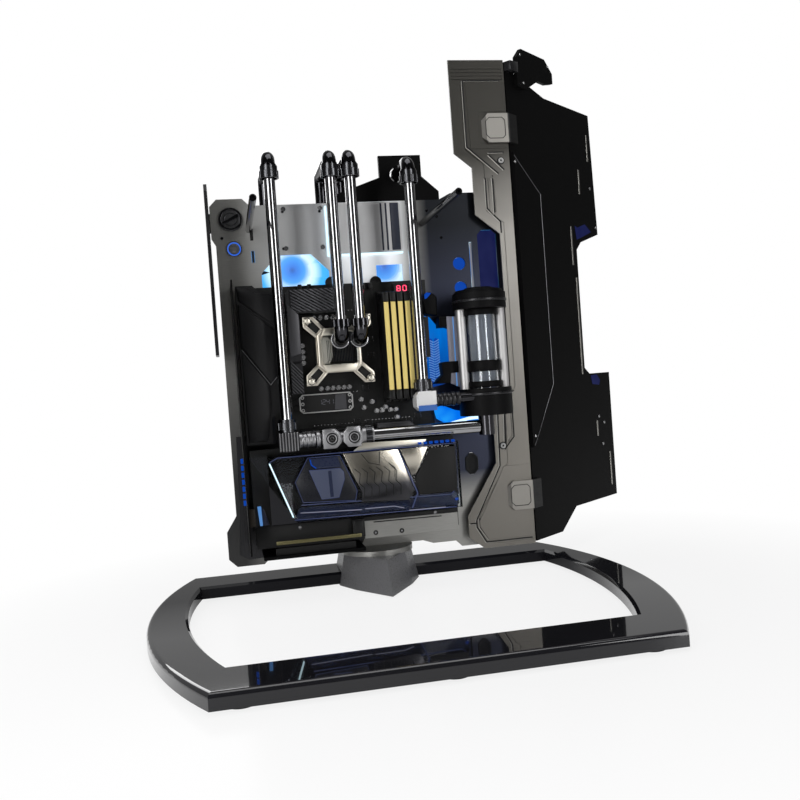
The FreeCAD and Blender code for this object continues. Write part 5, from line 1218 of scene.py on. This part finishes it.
def set_camera():
    """The photograph's viewpoint: the frame leans a little to the right in it."""
    yaw, pitch, roll = (math.radians(angle) for angle in VIEW_ANGLES)
    forward = Vector((math.sin(yaw) * math.cos(pitch), math.cos(yaw) * math.cos(pitch), -math.sin(pitch)))
    right = Vector((math.cos(yaw), -math.sin(yaw), 0.0))
    down = forward.cross(right)
    across = right * math.cos(roll) + down * math.sin(roll)
    below = down * math.cos(roll) - right * math.sin(roll)
    bpy.ops.object.camera_add()
    camera = bpy.context.object
    camera.matrix_world = (Matrix.Translation(Vector(CAMERA_SPOT) * MM)
                           @ Matrix((across, -below, -forward)).transposed().to_4x4())
    camera.data.sensor_width = SENSOR
    camera.data.lens = LENS
    camera.data.clip_start = 0.01
    bpy.context.scene.camera = camera


def set_floor():
    """A pale floor that the camera sees as white away from the object."""
    bpy.ops.mesh.primitive_plane_add(size=14.0)
    floor = bpy.context.object
    floor.name = "floor"
    look = Finish("floor_white", Base_Color=shade(0.86, 0.86, 0.87), Roughness=0.22, Specular_IOR_Level=0.35)
    rays = look.tree.nodes.new("ShaderNodeLightPath")
    seen = Wire(look, rays.outputs["Is Camera Ray"]) + Wire(look, rays.outputs["Is Glossy Ray"]) * 0.5
    across, along = look.axis("X"), look.axis("Y")
    away = look.ramp(across * across + along * along, 0.1, 0.45, 0.83, 1.0)
    glow = look.node("ShaderNodeEmission", None, {"Color": grey(1.0), "Strength": 1.0})
    mixed = look.node("ShaderNodeMixShader", None, {0: seen * away, 1: Wire(look, look.shader.outputs[0]), 2: glow})
    look.tree.links.new(mixed.socket, look.tree.nodes["Material Output"].inputs[0])
    floor.data.materials.append(look.material)


def set_world():
    """White behind the object, a dim room in front of it."""
    world = bpy.data.worlds.new("studio")
    bpy.context.scene.world = world
    world.use_nodes = True
    tree = world.node_tree
    add, link = tree.nodes.new, tree.links.new
    point = add("ShaderNodeTexCoord")
    split = add("ShaderNodeSeparateXYZ")
    link(point.outputs["Generated"], split.inputs[0])
    back = add("ShaderNodeMapRange")
    link(split.outputs["Y"], back.inputs[0])
    for socket, value in zip(back.inputs[1:5], (-0.1, 0.9, 0.06, 0.35)):
        socket.default_value = value
    rays = add("ShaderNodeLightPath")
    shown = add("ShaderNodeMath")
    shown.operation = "MAXIMUM"
    link(rays.outputs["Is Camera Ray"], shown.inputs[0])
    link(back.outputs[0], shown.inputs[1])
    ground = tree.nodes["Background"]
    ground.inputs["Color"].default_value = grey(1.0)
    link(shown.outputs[0], ground.inputs["Strength"])


def add_lamp(name, place, size, power):
    """A rectangular lamp that looks at the object's middle."""
    bpy.ops.object.light_add(type="AREA", location=place)
    lamp = bpy.context.object
    lamp.name = name
    lamp.data.shape = "RECTANGLE"
    lamp.data.size, lamp.data.size_y = size
    lamp.data.energy = power
    lamp.rotation_euler = (Vector(LAMP_AIM) - Vector(place)).to_track_quat("-Z", "Y").to_euler()


def set_lights():
    add_lamp("strip_left", (-1.1, -1.25, 0.6), (0.6, 1.5), 15.0)
    add_lamp("strip_right", (0.85, -1.4, 0.6), (0.3, 1.5), 10.0)
    add_lamp("top", (0.1, -0.1, 1.9), (1.4, 1.0), 12.0)
    add_lamp("back", (-0.6, 1.6, 1.2), (1.2, 1.0), 12.0)


for make in (dress_nodes, board_cans, board_chips, board_crumbs, outlet_shroud, board_heatsinks, memory_caps,
             code_display, status_screen, board_slots, processor_block, card_glass, card_mirror, card_frame,
             loop_fittings, reservoir, badge_and_button, lit_panel, plate_openings, plate_gap, plate_screws,
             outlet_slots, cover_lines, cover_clips, panel_trim, fan_lights, radiator_fins, supply_grille,
             set_camera, set_floor, set_world, set_lights):
    make()
bpy.context.scene.view_settings.view_transform = "Standard"
